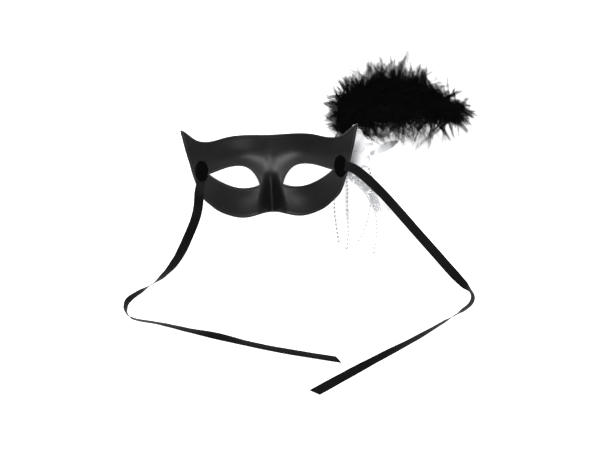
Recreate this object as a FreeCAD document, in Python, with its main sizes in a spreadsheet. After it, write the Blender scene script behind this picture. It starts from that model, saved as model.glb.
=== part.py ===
"""Venetian half mask, lying face down on a table.

+Z points up, towards the wearer's side, +X to the wearer's right and +Y towards the brows.
The origin is the foremost point of the nose, where the braid on its tip meets the table.
All lengths are in millimetres.
"""
import FreeCAD, Part
import math
import os
import Sketcher

V = FreeCAD.Vector
doc = FreeCAD.newDocument("venetian_mask")

# ---------------------------------------------------------------- driving sizes
SIZES = {
    "half_width": 92.0,             # mirror plane to the tip of a horn
    "full_height": 92.85,           # lowest point of the cheeks to the tips of the horns
    "wrap_depth": 45.0,             # how far the horns stand back from the brows
    "cheek_rise": 20.0,             # how far the cheeks stand back from the nose
    "lining_thickness": 0.8,
    "shell_thickness": 1.2,
    "cover_thickness": 0.4,
    "braid_thickness": 1.2,
    "edge_braid_width": 5.0,
    "eye_braid_width": 4.0,
    "ribbon_width": 10.0,
    "ribbon_thickness": 0.6,
    "patch_width": 13.0,
    "patch_height": 23.0,
    "patch_thickness": 0.8,
    "flower_inset": 6.0,            # flower's centre in from the horn's tip
    "flower_drop": 27.5,            # flower's centre down from the horn's tip
    "flower_height": 24.0,          # flower's centre above the table
    "pad_diameter": 16.0,
    "pad_shift": 15.0,              # pad's centre in from the flower's centre
    "outer_petals_diameter": 52.0,
    "inner_petals_diameter": 36.0,
    "petal_thickness": 1.2,
    "heart_diameter": 18.0,
    "heart_thickness": 3.0,
    "gem_diameter": 9.0,
    "plume_length": 148.0,
    "plume_breadth": 90.0,
    "plume_depth": 44.0,
    "plume_skin": 0.5,
    "quill_diameter": 2.0,
    "binding_diameter": 3.6,
    "binding_length": 8.0,
    "lace_thickness": 0.8,
    "organza_thickness": 0.4,
    "bead_diameter": 3.2,
    "end_bead_diameter": 4.2,
    "bead_pitch": 4.2,
    "bead_bore": 1.2,
    "thread_diameter": 0.6,
    "seat_gap": 0.3,                # left between soft pieces that only lie near each other
}

sheet = doc.addObject("Spreadsheet::Sheet", "Sizes")
for row, (alias, value) in enumerate(SIZES.items(), start=1):
    sheet.set(f"A{row}", alias)
    sheet.set(f"B{row}", str(value))
    sheet.setAlias(f"B{row}", alias)
doc.recompute()
READ = {alias: float(sheet.get(alias)) for alias in SIZES}


def size(alias):
    return READ[alias]


half_width = size("half_width")
full_height = size("full_height")
braid_depth = (size("lining_thickness") + size("shell_thickness") + size("cover_thickness")
               + size("braid_thickness"))

# The paper pattern is drawn for this half width and height, and scaled to the sizes above.
PATTERN_HALF_WIDTH = 92.0
PATTERN_HEIGHT = 92.85
PATTERN_LOWEST = -8.35
SCALE_X = half_width / PATTERN_HALF_WIDTH
SCALE_Y = full_height / PATTERN_HEIGHT

BROW_EDGE = [(0, 78), (15, 78.3), (36, 78.1), (48, 76.1), (57, 73.5), (67, 72.0),
             (75, 73.2), (80, 76.0), (86.8, 81.5), (92, 84.5)]
CHEEK_EDGE = [(92, 84.5), (89.5, 72), (86.8, 60), (84, 49.5), (81.5, 39.6), (78, 29),
              (74.5, 19.5), (71.0, 13.0), (64.3, 6.4), (56.8, 0.1), (48, -4.3), (39, -7.2),
              (30.4, -8.35), (22.3, -7.6), (13.5, -5.4), (6.7, -3.7), (0, -3.1)]
UPPER_LID = [(65.2, 38.4), (56.5, 41.4), (48, 44.4), (35.5, 46.5), (26.4, 45.1), (19, 39.5),
             (13.8, 31), (12, 25.3)]
LOWER_LID = [(12, 25.3), (18, 23.4), (33.8, 22.65), (46.6, 26.6), (56.8, 32.1), (65.2, 38.4)]

horn_y = BROW_EDGE[-1][1] * SCALE_Y

BELOW_TABLE = -60.0
TALL = 180.0
RIDGE_RADIUS = 5.0


# ---------------------------------------------------------------- the mask's curved faces
def ease(share):
    share = min(1.0, max(0.0, share))
    return share * share * (3 - 2 * share)


def bump(across, centre_across, spread_across, up, centre_up, spread_up):
    return math.exp(-((across - centre_across) / spread_across) ** 2
                    - ((up - centre_up) / spread_up) ** 2)


def modelled_height(x, y):
    """The relief of the face that the wearer feels, before the mask is laid on its nose."""
    across = abs(x) / half_width
    up = (y / SCALE_Y - PATTERN_LOWEST) / PATTERN_HEIGHT
    wrap = size("wrap_depth") * (0.8 * across ** 2 + 0.2 * across ** 4)
    cheeks = size("cheek_rise") * ease((0.715 - up) / 0.59)
    bridge = 5.0 * math.exp(-((up - 0.48) / 0.17) ** 2)
    nose_side = 5.0 + 7.0 * ease((0.50 - up) / 0.42)
    slope = min(1.0, (math.hypot(x, RIDGE_RADIUS) - RIDGE_RADIUS) / nose_side)
    nose = (cheeks - bridge) * (1 - slope) ** 2
    brow = 3.1 * bump(across, 0.30, 0.21, up, 0.76, 0.12)
    socket = 5.0 * bump(across, 0.40, 0.27, up, 0.48, 0.14)
    cheek = 3.0 * bump(across, 0.37, 0.24, up, 0.20, 0.13)
    return wrap + cheeks - nose - brow + socket - cheek


def spaced(low, high, count):
    return [low + (high - low) * i / count for i in range(count + 1)]


# The mask lies on the braid at the tip of its nose.
NOSE_TIP = min(modelled_height(0, y * SCALE_Y) for y in spaced(-3.0, 8.0, 44))


def wearer_side(x, y):
    """Height above the table of the face that the wearer feels."""
    return modelled_height(x, y) - NOSE_TIP + braid_depth


def curved_face(height_at, xs, ys):
    surface = Part.BSplineSurface()
    surface.interpolate([[V(x, y, height_at(x, y)) for y in ys] for x in xs])
    return surface.toShape()


def curve(points):
    spline = Part.BSplineCurve()
    spline.interpolate([V(x * SCALE_X, y * SCALE_Y, BELOW_TABLE) for x, y in points])
    return spline.toShape()


def mirrored(points):
    return [(-x, y) for x, y in reversed(points)]


def mask_outline():
    upper = curve(mirrored(BROW_EDGE)[:-1] + BROW_EDGE)
    lower = curve(CHEEK_EDGE[:-1] + mirrored(CHEEK_EDGE))
    return Part.Wire([upper, lower])


def eye_outline(side):
    upper = curve([(side * x, y) for x, y in UPPER_LID])
    lower = curve([(side * x, y) for x, y in LOWER_LID])
    return Part.Wire([upper, lower])


def upright(wire, *holes):
    """A tall solid with this outline, less the holes."""
    face = Part.Face(wire)
    for hole in holes:
        face = face.cut(Part.Face(hole))
    return face.extrude(V(0, 0, TALL))


# ---------------------------------------------------------------- document helpers
SUB_PARTS = []


def feature(name, shape, placement=None):
    made = doc.addObject("Part::Feature", name)
    made.Shape = shape
    if placement is not None:
        made.Placement = placement
    return made


def sub_part(made, label):
    made.Label = label
    SUB_PARTS.append(made)
    return made


def boolean(kind, name, base, tool):
    made = doc.addObject(kind, name)
    made.Base = base
    made.Tool = tool
    return made


def extruded(name, face, thickness, start, way):
    """A face feature thickened along Z, from a start height above its own."""
    made = doc.addObject("Part::Extrusion", name)
    made.Base = face
    made.DirMode = "Custom"
    made.Dir = V(0, 0, way)
    made.Solid = True
    made.setExpression("LengthFwd", thickness)
    made.setExpression("Placement.Base.z", start)
    return made


# ---------------------------------------------------------------- shell, lining, cover, braids
# Stations across the mask are closer together at the nose ridge.
ACROSS = [1.09 * half_width * (0.4 * share + 0.6 * share ** 3) for share in spaced(-1, 1, 64)]
UP = spaced((PATTERN_LOWEST - 6) * SCALE_Y, (PATTERN_LOWEST + PATTERN_HEIGHT + 6) * SCALE_Y, 30)
whole_face = curved_face(wearer_side, ACROSS, UP)


def face_within(name, area):
    """The part of the wearer's face that lies within an upright solid."""
    return feature(name, whole_face.common(area).Faces[0])


edge = mask_outline()
eyes = {"left": eye_outline(-1), "right": eye_outline(1)}
mask_area = upright(edge)
mask_face = face_within("mask_face", upright(edge, eyes["left"], eyes["right"]))

LINING = "Sizes.lining_thickness"
SHELL = "Sizes.shell_thickness"
COVER = "Sizes.cover_thickness"
BRAID = "Sizes.braid_thickness"
CLOTH_FRONT = f"-{LINING} - {SHELL} - {COVER}"
sub_part(extruded("lining_layer", mask_face, LINING, "0", -1), "lining")
sub_part(extruded("shell_layer", mask_face, SHELL, f"-{LINING}", -1), "mask_shell")
sub_part(extruded("cover_layer", mask_face, COVER, f"-{LINING} - {SHELL}", -1), "front_cover")

inset = edge.makeOffset2D(-size("edge_braid_width"))
edge_face = face_within("edge_face", upright(edge, inset))
sub_part(extruded("edge_braid_layer", edge_face, BRAID, CLOTH_FRONT, -1), "edge_braid")
for side, eye in eyes.items():
    ring = eye.makeOffset2D(size("eye_braid_width"))
    eye_face = face_within(f"eye_face_{side}", upright(ring, eye))
    sub_part(extruded(f"eye_braid_layer_{side}", eye_face, BRAID, CLOTH_FRONT, -1),
             f"eye_braid_{side}")


# ---------------------------------------------------------------- ribbon ends and their patches
def band_outline(points, width):
    """The outline of a straight-sided band along a line of two points."""
    start, end = (V(x * SCALE_X, y * SCALE_Y, BELOW_TABLE) for x, y in points)
    aside = (end - start).cross(V(0, 0, 1)).normalize() * (width / 2)
    corners = [start + aside, end + aside, end - aside, start - aside]
    return Part.makePolygon(corners + corners[:1])


def oval_outline(x, y, width, height):
    tall = Part.Ellipse(V(0, 0, 0), height / 2, width / 2).toShape()
    tall.Placement = FreeCAD.Placement(V(x * SCALE_X, y * SCALE_Y, BELOW_TABLE),
                                       FreeCAD.Rotation(V(0, 0, 1), 90))
    return Part.Wire([tall])


GLUED_ENDS = {
    "right": {"tab": [(67.0, 41.2), (86.0, 41.2)], "patch": (73.0, 41.5)},
    "left": {"tab": [(-71.5, 48.0), (-75.4, 14.0)], "patch": (-72.0, 41.0)},
}
for side, place in GLUED_ENDS.items():
    strip = upright(band_outline(place["tab"], size("ribbon_width")))
    tab_face = face_within(f"tab_face_{side}", strip.common(mask_area))
    sub_part(extruded(f"tab_layer_{side}", tab_face, "Sizes.ribbon_thickness", "0", 1),
             f"ribbon_tab_{side}")
    oval = upright(oval_outline(*place["patch"], size("patch_width"), size("patch_height")))
    patch_face = face_within(f"patch_face_{side}", oval)
    sub_part(extruded(f"patch_layer_{side}", patch_face, "Sizes.patch_thickness",
                      "Sizes.ribbon_thickness", 1), f"patch_{side}")


# ---------------------------------------------------------------- cords: runs and tangent arcs
def corner_arc(before, corner, after):
    """The arc that rounds a corner: where it starts, its middle, where it ends, its radius."""
    back = before - corner
    ahead = after - corner
    reach = 0.45 * min(back.Length, ahead.Length)
    half_turn = (math.pi - back.getAngle(ahead)) / 2
    radius = reach / math.tan(half_turn)
    back.normalize()
    ahead.normalize()
    inward = (back + ahead).normalize()
    middle = corner + inward * (radius / math.cos(half_turn) - radius)
    return corner + back * reach, middle, corner + ahead * reach, radius


def cord_path(label, route):
    """Straight runs joined by tangent arcs through the route; prints the arcs' radii."""
    points = [V(*point) for point in route]
    edges = []
    radii = []
    here = points[0]
    for before, corner, after in zip(points, points[1:], points[2:]):
        start, middle, end, radius = corner_arc(before, corner, after)
        edges.append(Part.LineSegment(here, start).toShape())
        edges.append(Part.Arc(start, middle, end).toShape())
        radii.append(round(radius, 1))
        here = end
    edges.append(Part.LineSegment(here, points[-1]).toShape())
    path = Part.Wire(edges)
    print(f"{label}: length {path.Length:.1f} mm, arc radii {radii}")
    return path


def swept(label, path, profile, upright_section):
    pipe = Part.BRepOffsetAPI.MakePipeShell(path)
    if upright_section:
        pipe.setBiNormalMode(V(0, 0, 1))
    pipe.add(profile)
    pipe.build()
    pipe.makeSolid()
    solid = pipe.shape()
    length = path.Length
    if upright_section:
        # An upright section advances by the path's length seen from above.
        length = sum(math.hypot(b.x - a.x, b.y - a.y) for a, b in path_steps(path))
    expected = Part.Face(profile).Area * length
    print(f"{label}: volume {solid.Volume:.1f} mm3, section times length {expected:.1f} mm3")
    return solid


def path_steps(path):
    points = path.discretize(Distance=1.0)
    return zip(points, points[1:])


def band_profile(path, width, thickness):
    start = path.Edges[0].valueAt(path.Edges[0].FirstParameter)
    along = path.Edges[0].tangentAt(path.Edges[0].FirstParameter)
    aside = V(0, 0, 1).cross(along).normalize() * (width / 2)
    above = V(0, 0, thickness / 2)
    corners = [start + aside + above, start - aside + above,
               start - aside - above, start + aside - above]
    return Part.makePolygon(corners + corners[:1])


# Centre lines of the two ribbons: off the mask's edge, down to the table, and along it.
RIBBON_ROUTES = {
    "right": [(83.0, 41.0, 49.2), (90.0, 37.4, 45.0), (98.6, 31.4, 32.5), (109.5, 22.1, 18.0),
              (124.8, 5.6, 5.0), (140.1, -13.0, 0.6), (156.0, -33.0, 0.4), (172.5, -53.4, 0.4),
              (187.7, -73.0, 1.4), (199.2, -86.0, 3.6), (206.8, -94.2, 5.0), (208.0, -101.8, 5.0),
              (204.4, -108.6, 3.8), (193.6, -115.0, 2.0), (176.3, -124.9, 0.6),
              (146.0, -141.3, 0.4), (108.2, -159.2, 0.4), (70.4, -178.0, 0.4),
              (40.0, -194.9, 0.4)],
    "left": [(-76.6, 19.4, 50.4), (-78.0, 11.0, 47.2), (-80.8, 1.5, 37.0), (-85.6, -9.6, 23.0),
             (-92.6, -22.0, 10.5), (-99.8, -36.6, 3.4), (-107.6, -50.8, 0.6),
             (-118.6, -64.2, 0.4), (-130.6, -75.4, 1.6), (-145.4, -84.0, 3.6),
             (-155.2, -90.4, 4.6), (-158.9, -97.6, 5.0), (-157.8, -105.6, 5.0),
             (-152.6, -111.4, 4.6), (-143.0, -114.0, 3.8), (-130.0, -116.6, 3.0),
             (-113.2, -121.8, 1.6),
             (-92.3, -129.1, 0.6), (-62.8, -137.6, 0.4), (-29.2, -145.8, 0.4),
             (12.9, -154.0, 0.4), (62.4, -162.9, 0.4)],
}
for side, route in RIBBON_ROUTES.items():
    label = f"ribbon_{side}"
    path = cord_path(label, route)
    profile = band_profile(path, size("ribbon_width"), size("ribbon_thickness"))
    sub_part(feature(label + "_band", swept(label, path, profile, True)), label)


# ---------------------------------------------------------------- the flower
flower_x = half_width - size("flower_inset")
flower_y = horn_y - size("flower_drop")
# The flower faces away from the wearer and leans out with the wing.
FLOWER_LEAN = 17.5
flower_turn = FreeCAD.Rotation(V(0, 1, 0), 180 - FLOWER_LEAN)
flower_place = FreeCAD.Placement(V(flower_x, flower_y, size("flower_height")), flower_turn)


def plane_of(body, role):
    return next(item for item in body.Origin.OriginFeatures if item.Role == role)


def sketch_on(body, name, height):
    made = body.newObject("Sketcher::SketchObject", name)
    made.AttachmentSupport = [(plane_of(body, "XY_Plane"), "")]
    made.MapMode = "FlatFace"
    made.setExpression("AttachmentOffset.Base.z", height)
    return made


def pad_up(body, name, sketch, length):
    made = body.newObject("PartDesign::Pad", name)
    made.Profile = sketch
    made.setExpression("Length", length)
    return made


def circle_in(sketch, x, radius, names):
    """A circle on the sketch's X axis whose radius, and place if named, follow the sizes."""
    index = sketch.addGeometry(Part.Circle(V(x, 0, 0), V(0, 0, 1), radius), False)
    sketch.addConstraint(Sketcher.Constraint("PointOnObject", index, 3, -1))
    across = sketch.addConstraint(Sketcher.Constraint("DistanceX", -1, 1, index, 3, x))
    round_size = sketch.addConstraint(Sketcher.Constraint("Radius", index, radius))
    sketch.setExpression(f"Constraints[{across}]", names[0])
    sketch.setExpression(f"Constraints[{round_size}]", names[1])


# Shares of a rosette's diameter: its middle disc's radius, a petal's place and its radius.
MIDDLE_SHARE = 0.35
PETAL_REACH = 0.34
PETAL_SHARE = 0.16
PETALS = 7


def petal_ring(label, diameter, height, turn):
    """A flat rosette: a middle disc with a ring of round petals that run into each other."""
    body = doc.addObject("PartDesign::Body", label + "_body")
    middle = sketch_on(body, label + "_middle_sketch", height)
    circle_in(middle, 0.0, MIDDLE_SHARE * size(diameter),
              ("0", f"Sizes.{diameter} * {MIDDLE_SHARE}"))
    pad_up(body, label + "_middle", middle, "Sizes.petal_thickness")
    doc.recompute()
    petal = sketch_on(body, label + "_petal_sketch", height)
    circle_in(petal, PETAL_REACH * size(diameter), PETAL_SHARE * size(diameter),
              (f"Sizes.{diameter} * {PETAL_REACH}", f"Sizes.{diameter} * {PETAL_SHARE}"))
    one = pad_up(body, label + "_petal", petal, "Sizes.petal_thickness")
    doc.recompute()
    ring = body.newObject("PartDesign::PolarPattern", label + "_ring")
    ring.Originals = [one]
    ring.Axis = (plane_of(body, "Z_Axis"), [""])
    ring.Angle = 360
    ring.Occurrences = PETALS
    body.Tip = ring
    body.Placement = flower_place.multiply(
        FreeCAD.Placement(V(0, 0, 0), FreeCAD.Rotation(V(0, 0, 1), turn)))
    return sub_part(body, label)


petal_ring("petals_outer", "outer_petals_diameter", "0", 0.0)
petal_ring("petals_inner", "inner_petals_diameter", "Sizes.petal_thickness", 25.0)


def cylinder(name, radius, height, placement):
    made = doc.addObject("Part::Cylinder", name)
    made.setExpression("Radius", radius)
    made.setExpression("Height", height)
    made.Placement = placement
    return made


def on_flower(x, y, height):
    return flower_place.multiply(FreeCAD.Placement(V(x, y, height), FreeCAD.Rotation()))


petals_height = 2 * size("petal_thickness")
heart = cylinder("heart_disc", "Sizes.heart_diameter / 2", "Sizes.heart_thickness",
                 on_flower(0, 0, petals_height))
sub_part(heart, "flower_heart")

gem = doc.addObject("Part::Sphere", "gem_dome")
gem.setExpression("Radius", "Sizes.gem_diameter / 2")
gem.Angle1 = 0
gem.Placement = on_flower(0, 0, petals_height + size("heart_thickness"))
sub_part(gem, "flower_gem")

# The pad fills the space between the mask's front and the back of the petals: a long post
# that the mask's front cuts off.
PAD_BLANK = 60.0
pad_post = cylinder("pad_post", "Sizes.pad_diameter / 2", f"{PAD_BLANK}",
                    on_flower(size("pad_shift"), 0, -PAD_BLANK))
under_cover = feature("under_cover", whole_face.extrude(V(0, 0, -TALL)))
under_cover.setExpression("Placement.Base.z", CLOTH_FRONT)
sub_part(boolean("Part::Common", "pad_fitted", pad_post, under_cover), "flower_pad")


# ---------------------------------------------------------------- the feather
PLUME_BEYOND = 56.0                 # plume's centre out from the horn's tip
PLUME_ABOVE = 28.5                  # plume's centre up from the horn's tip
plume_centre = V(half_width + PLUME_BEYOND, horn_y + PLUME_ABOVE, size("plume_depth") / 2)


def ellipsoid(name, margin):
    made = doc.addObject("Part::Ellipsoid", name)
    made.setExpression("Radius1", f"Sizes.plume_depth / 2 - {margin}")
    made.setExpression("Radius2", f"Sizes.plume_length / 2 - {margin}")
    made.setExpression("Radius3", f"Sizes.plume_breadth / 2 - {margin}")
    made.Placement = FreeCAD.Placement(plume_centre, FreeCAD.Rotation())
    return made


plume = boolean("Part::Cut", "plume_skin", ellipsoid("plume_outside", "0"),
                ellipsoid("plume_inside", "Sizes.plume_skin"))
sub_part(plume, "feather_plume")

# The quill's foot is tucked in behind the flower, this far in from and down from the horn.
QUILL_INSET = 12.0
QUILL_DROP = 12.5
QUILL_HEIGHT = 30.0
BINDING_START = 3.0                 # bare quill before the binding
quill_foot = V(half_width - QUILL_INSET, horn_y - QUILL_DROP, QUILL_HEIGHT)
quill_way = plume_centre - quill_foot
# Share of the way from the foot to the plume's centre at which its surface is met.
radii = V(size("plume_length") / 2, size("plume_breadth") / 2, size("plume_depth") / 2)
stretch = math.sqrt((quill_way.x / radii.x) ** 2 + (quill_way.y / radii.y) ** 2
                    + (quill_way.z / radii.z) ** 2)
quill_length = quill_way.Length * (1 - 1 / stretch) - size("quill_diameter") - size("seat_gap")
quill_place = FreeCAD.Placement(quill_foot, FreeCAD.Rotation(V(0, 0, 1), quill_way))
quill = cylinder("quill_rod", "Sizes.quill_diameter / 2", f"{quill_length}", quill_place)
sub_part(quill, "feather_quill")
binding_start = FreeCAD.Placement(V(0, 0, BINDING_START), FreeCAD.Rotation())
wrap = cylinder("binding_outside", "Sizes.binding_diameter / 2", "Sizes.binding_length",
                quill_place.multiply(binding_start))
sub_part(boolean("Part::Cut", "binding_cut", wrap, quill), "feather_binding")


# ---------------------------------------------------------------- lace, organza leaf and tail
def strip_outline(points, widths):
    """The outline of a band of changing width along a line of points."""
    line = [V(x, y, BELOW_TABLE) for x, y in points]
    left = []
    right = []
    for index, (here, width) in enumerate(zip(line, widths)):
        before = line[max(0, index - 1)]
        after = line[min(len(line) - 1, index + 1)]
        aside = V(0, 0, 1).cross(after - before).normalize() * (width / 2)
        left.append(here + aside)
        right.append(here - aside)
    sides = []
    for side in (left, list(reversed(right))):
        spline = Part.BSplineCurve()
        spline.interpolate(side)
        sides.append(spline.toShape())
    ends = [Part.makeLine(left[-1], right[-1]), Part.makeLine(right[0], left[0])]
    return Part.Wire([sides[0], ends[0], sides[1], ends[1]])


def draped(label, line, widths, height_from_flower, thickness):
    """A thin strip whose line and underside are given from the flower's centre."""
    outline_wire = strip_outline([(flower_x + x, flower_y + y) for x, y in line], widths)
    box = outline_wire.BoundBox
    xs = spaced(box.XMin - 3, box.XMax + 3, 14)
    ys = spaced(box.YMin - 3, box.YMax + 3, 14)

    def underside(x, y):
        return height_from_flower(x - flower_x, y - flower_y)

    face = curved_face(underside, xs, ys).common(upright(outline_wire)).Faces[0]
    return sub_part(extruded(label + "_sheet", feature(label + "_face", face), thickness, "0", 1),
                    label)


def lace_height(x, y):
    return 5.0 + 13.0 * ease((y + 43.0) / 18.0)


def tail_height(x, y):
    return 0.3 + 16.0 * ease((y + 35.0) / 18.0)


def leaf_height(x, y):
    return 6.0 + 20.5 * ease((44.0 - x) / 20.0)


LACE_LINE = [(-5.4, -23.5), (1.0, -28.4), (8.0, -32.6), (15.9, -41.0), (21.8, -51.8),
             (25.8, -65.0)]
LACE_WIDTHS = [5.0, 8.0, 9.0, 9.5, 9.0, 6.0]
draped("lace_leaf", LACE_LINE, LACE_WIDTHS, lace_height, "Sizes.lace_thickness")

TAIL_LINE = [(5.5, -17.0), (10.8, -29.0), (16.0, -40.0), (22.6, -50.8), (30.6, -60.4),
             (40.6, -74.4), (50.6, -90.6)]
TAIL_WIDTHS = [7.0, 8.0, 9.0, 9.0, 9.5, 9.5, 10.0]
draped("organza_tail", TAIL_LINE, TAIL_WIDTHS, tail_height, "Sizes.organza_thickness")

LEAF_LINE = [(18.5, -4.4), (25.6, -1.4), (32.0, 1.6), (39.5, 5.2), (48.6, 9.4)]
LEAF_WIDTHS = [4.0, 6.5, 9.0, 8.0, 2.5]
draped("organza_leaf", LEAF_LINE, LEAF_WIDTHS, leaf_height, "Sizes.organza_thickness")


# ---------------------------------------------------------------- bead strands
# Each strand leaves the underside of the flower and comes to lie on the table.
LIE = 2.4
STRAND_ROUTES = [
    [(72.0, 38.0, 15.5), (69.0, 26.0, 10.5), (66.6, 14.0, 5.4), (65.5, 2.0, LIE),
     (65.8, -10.0, LIE), (67.2, -21.6, LIE), (68.0, -31.0, LIE), (69.4, -39.6, LIE)],
    [(78.6, 35.0, 16.5), (79.8, 25.0, 11.4), (79.9, 14.0, 6.0), (79.3, 2.4, LIE),
     (79.1, -9.8, LIE), (79.7, -22.4, LIE), (79.4, -35.0, LIE), (76.4, -46.8, LIE)],
    [(83.2, 33.6, 14.6), (87.4, 27.6, 10.2), (95.0, 23.2, 5.8), (101.2, 15.4, LIE + 0.5),
     (104.0, 6.0, LIE + 0.5), (103.4, -3.6, LIE + 0.2), (100.9, -13.6, LIE), (98.0, -23.4, LIE),
     (94.4, -31.2, LIE), (88.8, -38.4, LIE)],
    [(96.0, 55.0, 20.4), (98.6, 47.8, 17.4), (102.6, 40.2, 15.6), (105.8, 31.0, 13.6),
     (107.0, 20.0, 11.8), (107.3, 8.0, 9.9), (108.4, -4.0, 8.4), (109.4, -14.4, 6.6),
     (109.8, -24.6, LIE + 0.3), (108.9, -35.0, LIE), (107.4, -44.0, LIE), (105.5, -52.4, LIE)],
]
FIRST_BEAD = 2.6                    # along the thread to the first bead's centre
END_BEAD_GAP = 0.8                  # between the last small bead and the end bead
THREAD_TAIL = 0.5                   # thread that shows past the end bead


def station(path, distance):
    """The point and direction at a distance along a path."""
    for stretch_of_path in path.Edges:
        if distance <= stretch_of_path.Length:
            at = stretch_of_path.getParameterByLength(distance)
            return stretch_of_path.valueAt(at), stretch_of_path.tangentAt(at)
        distance -= stretch_of_path.Length
    raise ValueError("the distance runs past the end of the path")


def bead(path, distance, diameter):
    point, along = station(path, distance)
    ball = Part.makeSphere(diameter / 2)
    bore = Part.makeCylinder(size("bead_bore") / 2, 2 * diameter, V(0, 0, -diameter))
    bored = ball.cut(bore)
    bored.Placement = FreeCAD.Placement(point, FreeCAD.Rotation(V(0, 0, 1), along))
    return bored


def bead_strand(number, route):
    path = cord_path(f"strand_thread_{number}", route)
    start, along = station(path, 0.0)
    profile = Part.Wire([Part.makeCircle(size("thread_diameter") / 2, start, along)])
    thread = swept(f"strand_thread_{number}", path, profile, False)
    sub_part(feature(f"thread_{number}", thread), f"strand_thread_{number}")
    pitch = size("bead_pitch")
    last = path.Length - size("end_bead_diameter") / 2 - THREAD_TAIL
    gap_to_last = (size("end_bead_diameter") + size("bead_diameter")) / 2 + END_BEAD_GAP
    count = int((last - gap_to_last - FIRST_BEAD) / pitch) + 1
    beads = [bead(path, FIRST_BEAD + i * pitch, size("bead_diameter")) for i in range(count)]
    beads.append(bead(path, last, size("end_bead_diameter")))
    sub_part(feature(f"beads_{number}", Part.makeCompound(beads)), f"strand_beads_{number}")


for number, route in enumerate(STRAND_ROUTES, start=1):
    bead_strand(number, route)


# ---------------------------------------------------------------- check and write
doc.recompute()
for item in doc.Objects:
    if "Invalid" in item.State or "Error" in item.State:
        raise RuntimeError(f"{item.Label} did not recompute: {item.State}")
for item in SUB_PARTS:
    if item.Shape.isNull() or not item.Shape.isValid() or not item.Shape.Solids:
        raise RuntimeError(f"{item.Label} has no valid solid")

os.makedirs("parts", exist_ok=True)
for item in SUB_PARTS:
    item.Shape.exportStep(f"parts/{item.Label}.step")
print(len(SUB_PARTS), "sub-parts written")
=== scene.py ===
import bmesh
import bpy
import math
import random

import numpy as np
from mathutils import Matrix, Vector, noise
from mathutils.bvhtree import BVHTree
from mathutils.geometry import delaunay_2d_cdt


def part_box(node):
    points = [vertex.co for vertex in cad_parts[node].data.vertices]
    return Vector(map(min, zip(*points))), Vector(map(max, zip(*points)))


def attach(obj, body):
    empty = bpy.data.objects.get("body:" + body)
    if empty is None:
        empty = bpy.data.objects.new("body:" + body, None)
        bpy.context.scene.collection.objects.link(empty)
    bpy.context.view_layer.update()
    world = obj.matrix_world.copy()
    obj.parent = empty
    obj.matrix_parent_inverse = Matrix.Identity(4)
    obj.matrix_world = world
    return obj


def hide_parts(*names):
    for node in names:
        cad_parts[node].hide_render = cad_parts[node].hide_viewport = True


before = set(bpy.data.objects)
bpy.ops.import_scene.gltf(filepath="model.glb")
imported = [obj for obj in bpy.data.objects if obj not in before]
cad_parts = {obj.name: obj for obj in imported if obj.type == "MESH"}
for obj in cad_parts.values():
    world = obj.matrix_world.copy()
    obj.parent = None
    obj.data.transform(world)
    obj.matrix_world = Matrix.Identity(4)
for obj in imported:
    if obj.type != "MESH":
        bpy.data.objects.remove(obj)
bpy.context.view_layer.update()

bl_info = {
    "name": "Venetian Half Mask",
    "version": (1, 0, 0),
    "blender": (4, 5, 0),
    "location": "3D View > Sidebar > Half Mask",
    "description": "Dresses the half mask: lining, braid, ribbons, feather, flower, lace and beads",
    "category": "Object",
}

MM = 0.001


# ------------------------------------------------------------------ sizes and colours
class MaskSizes(bpy.types.PropertyGroup):
    """Sizes that a user would change."""
    binding_width: bpy.props.FloatProperty(
        name="Binding width", description="Width of the cloth folded over the mask's edge",
        default=1.9 * MM, unit="LENGTH")
    ribbon_width: bpy.props.FloatProperty(
        name="Ribbon width", description="Width of the tying ribbons", default=10 * MM, unit="LENGTH")
    ribbon_thickness: bpy.props.FloatProperty(
        name="Ribbon thickness", description="Thickness of the ribbon's weave", default=0.35 * MM,
        unit="LENGTH")
    bead_diameter: bpy.props.FloatProperty(
        name="Bead diameter", description="Diameter of a strand's beads", default=3.2 * MM,
        unit="LENGTH")
    end_bead_diameter: bpy.props.FloatProperty(
        name="End bead diameter", description="Diameter of the bead that closes a strand",
        default=4.2 * MM, unit="LENGTH")
    thread_diameter: bpy.props.FloatProperty(
        name="Thread diameter", description="Diameter of the thread that carries the beads",
        default=0.6 * MM, unit="LENGTH")
    tuft_count: bpy.props.IntProperty(
        name="Tufts", description="Tufts of down in each third of the feather", default=950, min=50)


class MaskColours(bpy.types.PropertyGroup):
    """Colours that a user would change."""
    black_cloth: bpy.props.FloatVectorProperty(
        name="Black cloth", description="Lining, ribbons and cover", subtype="COLOR",
        size=4, default=(0.0075, 0.0075, 0.008, 1))
    felt: bpy.props.FloatVectorProperty(
        name="Felt", description="Patches and pads", subtype="COLOR",
        size=4, default=(0.0022, 0.0022, 0.0024, 1))
    silver: bpy.props.FloatVectorProperty(
        name="Silver", description="Braid, lace thread and beads", subtype="COLOR",
        size=4, default=(0.74, 0.74, 0.76, 1))
    petal: bpy.props.FloatVectorProperty(
        name="Petals", description="Satin and organza petals", subtype="COLOR",
        size=4, default=(0.90, 0.90, 0.92, 1))
    feather: bpy.props.FloatVectorProperty(
        name="Feather", description="Down of the plume", subtype="COLOR",
        size=4, default=(0.0005, 0.0005, 0.00055, 1))


def sizes():
    """The sizes set in the sidebar."""
    return bpy.context.scene.mask_sizes


def colours():
    """The colours set in the sidebar."""
    return bpy.context.scene.mask_colours


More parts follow.
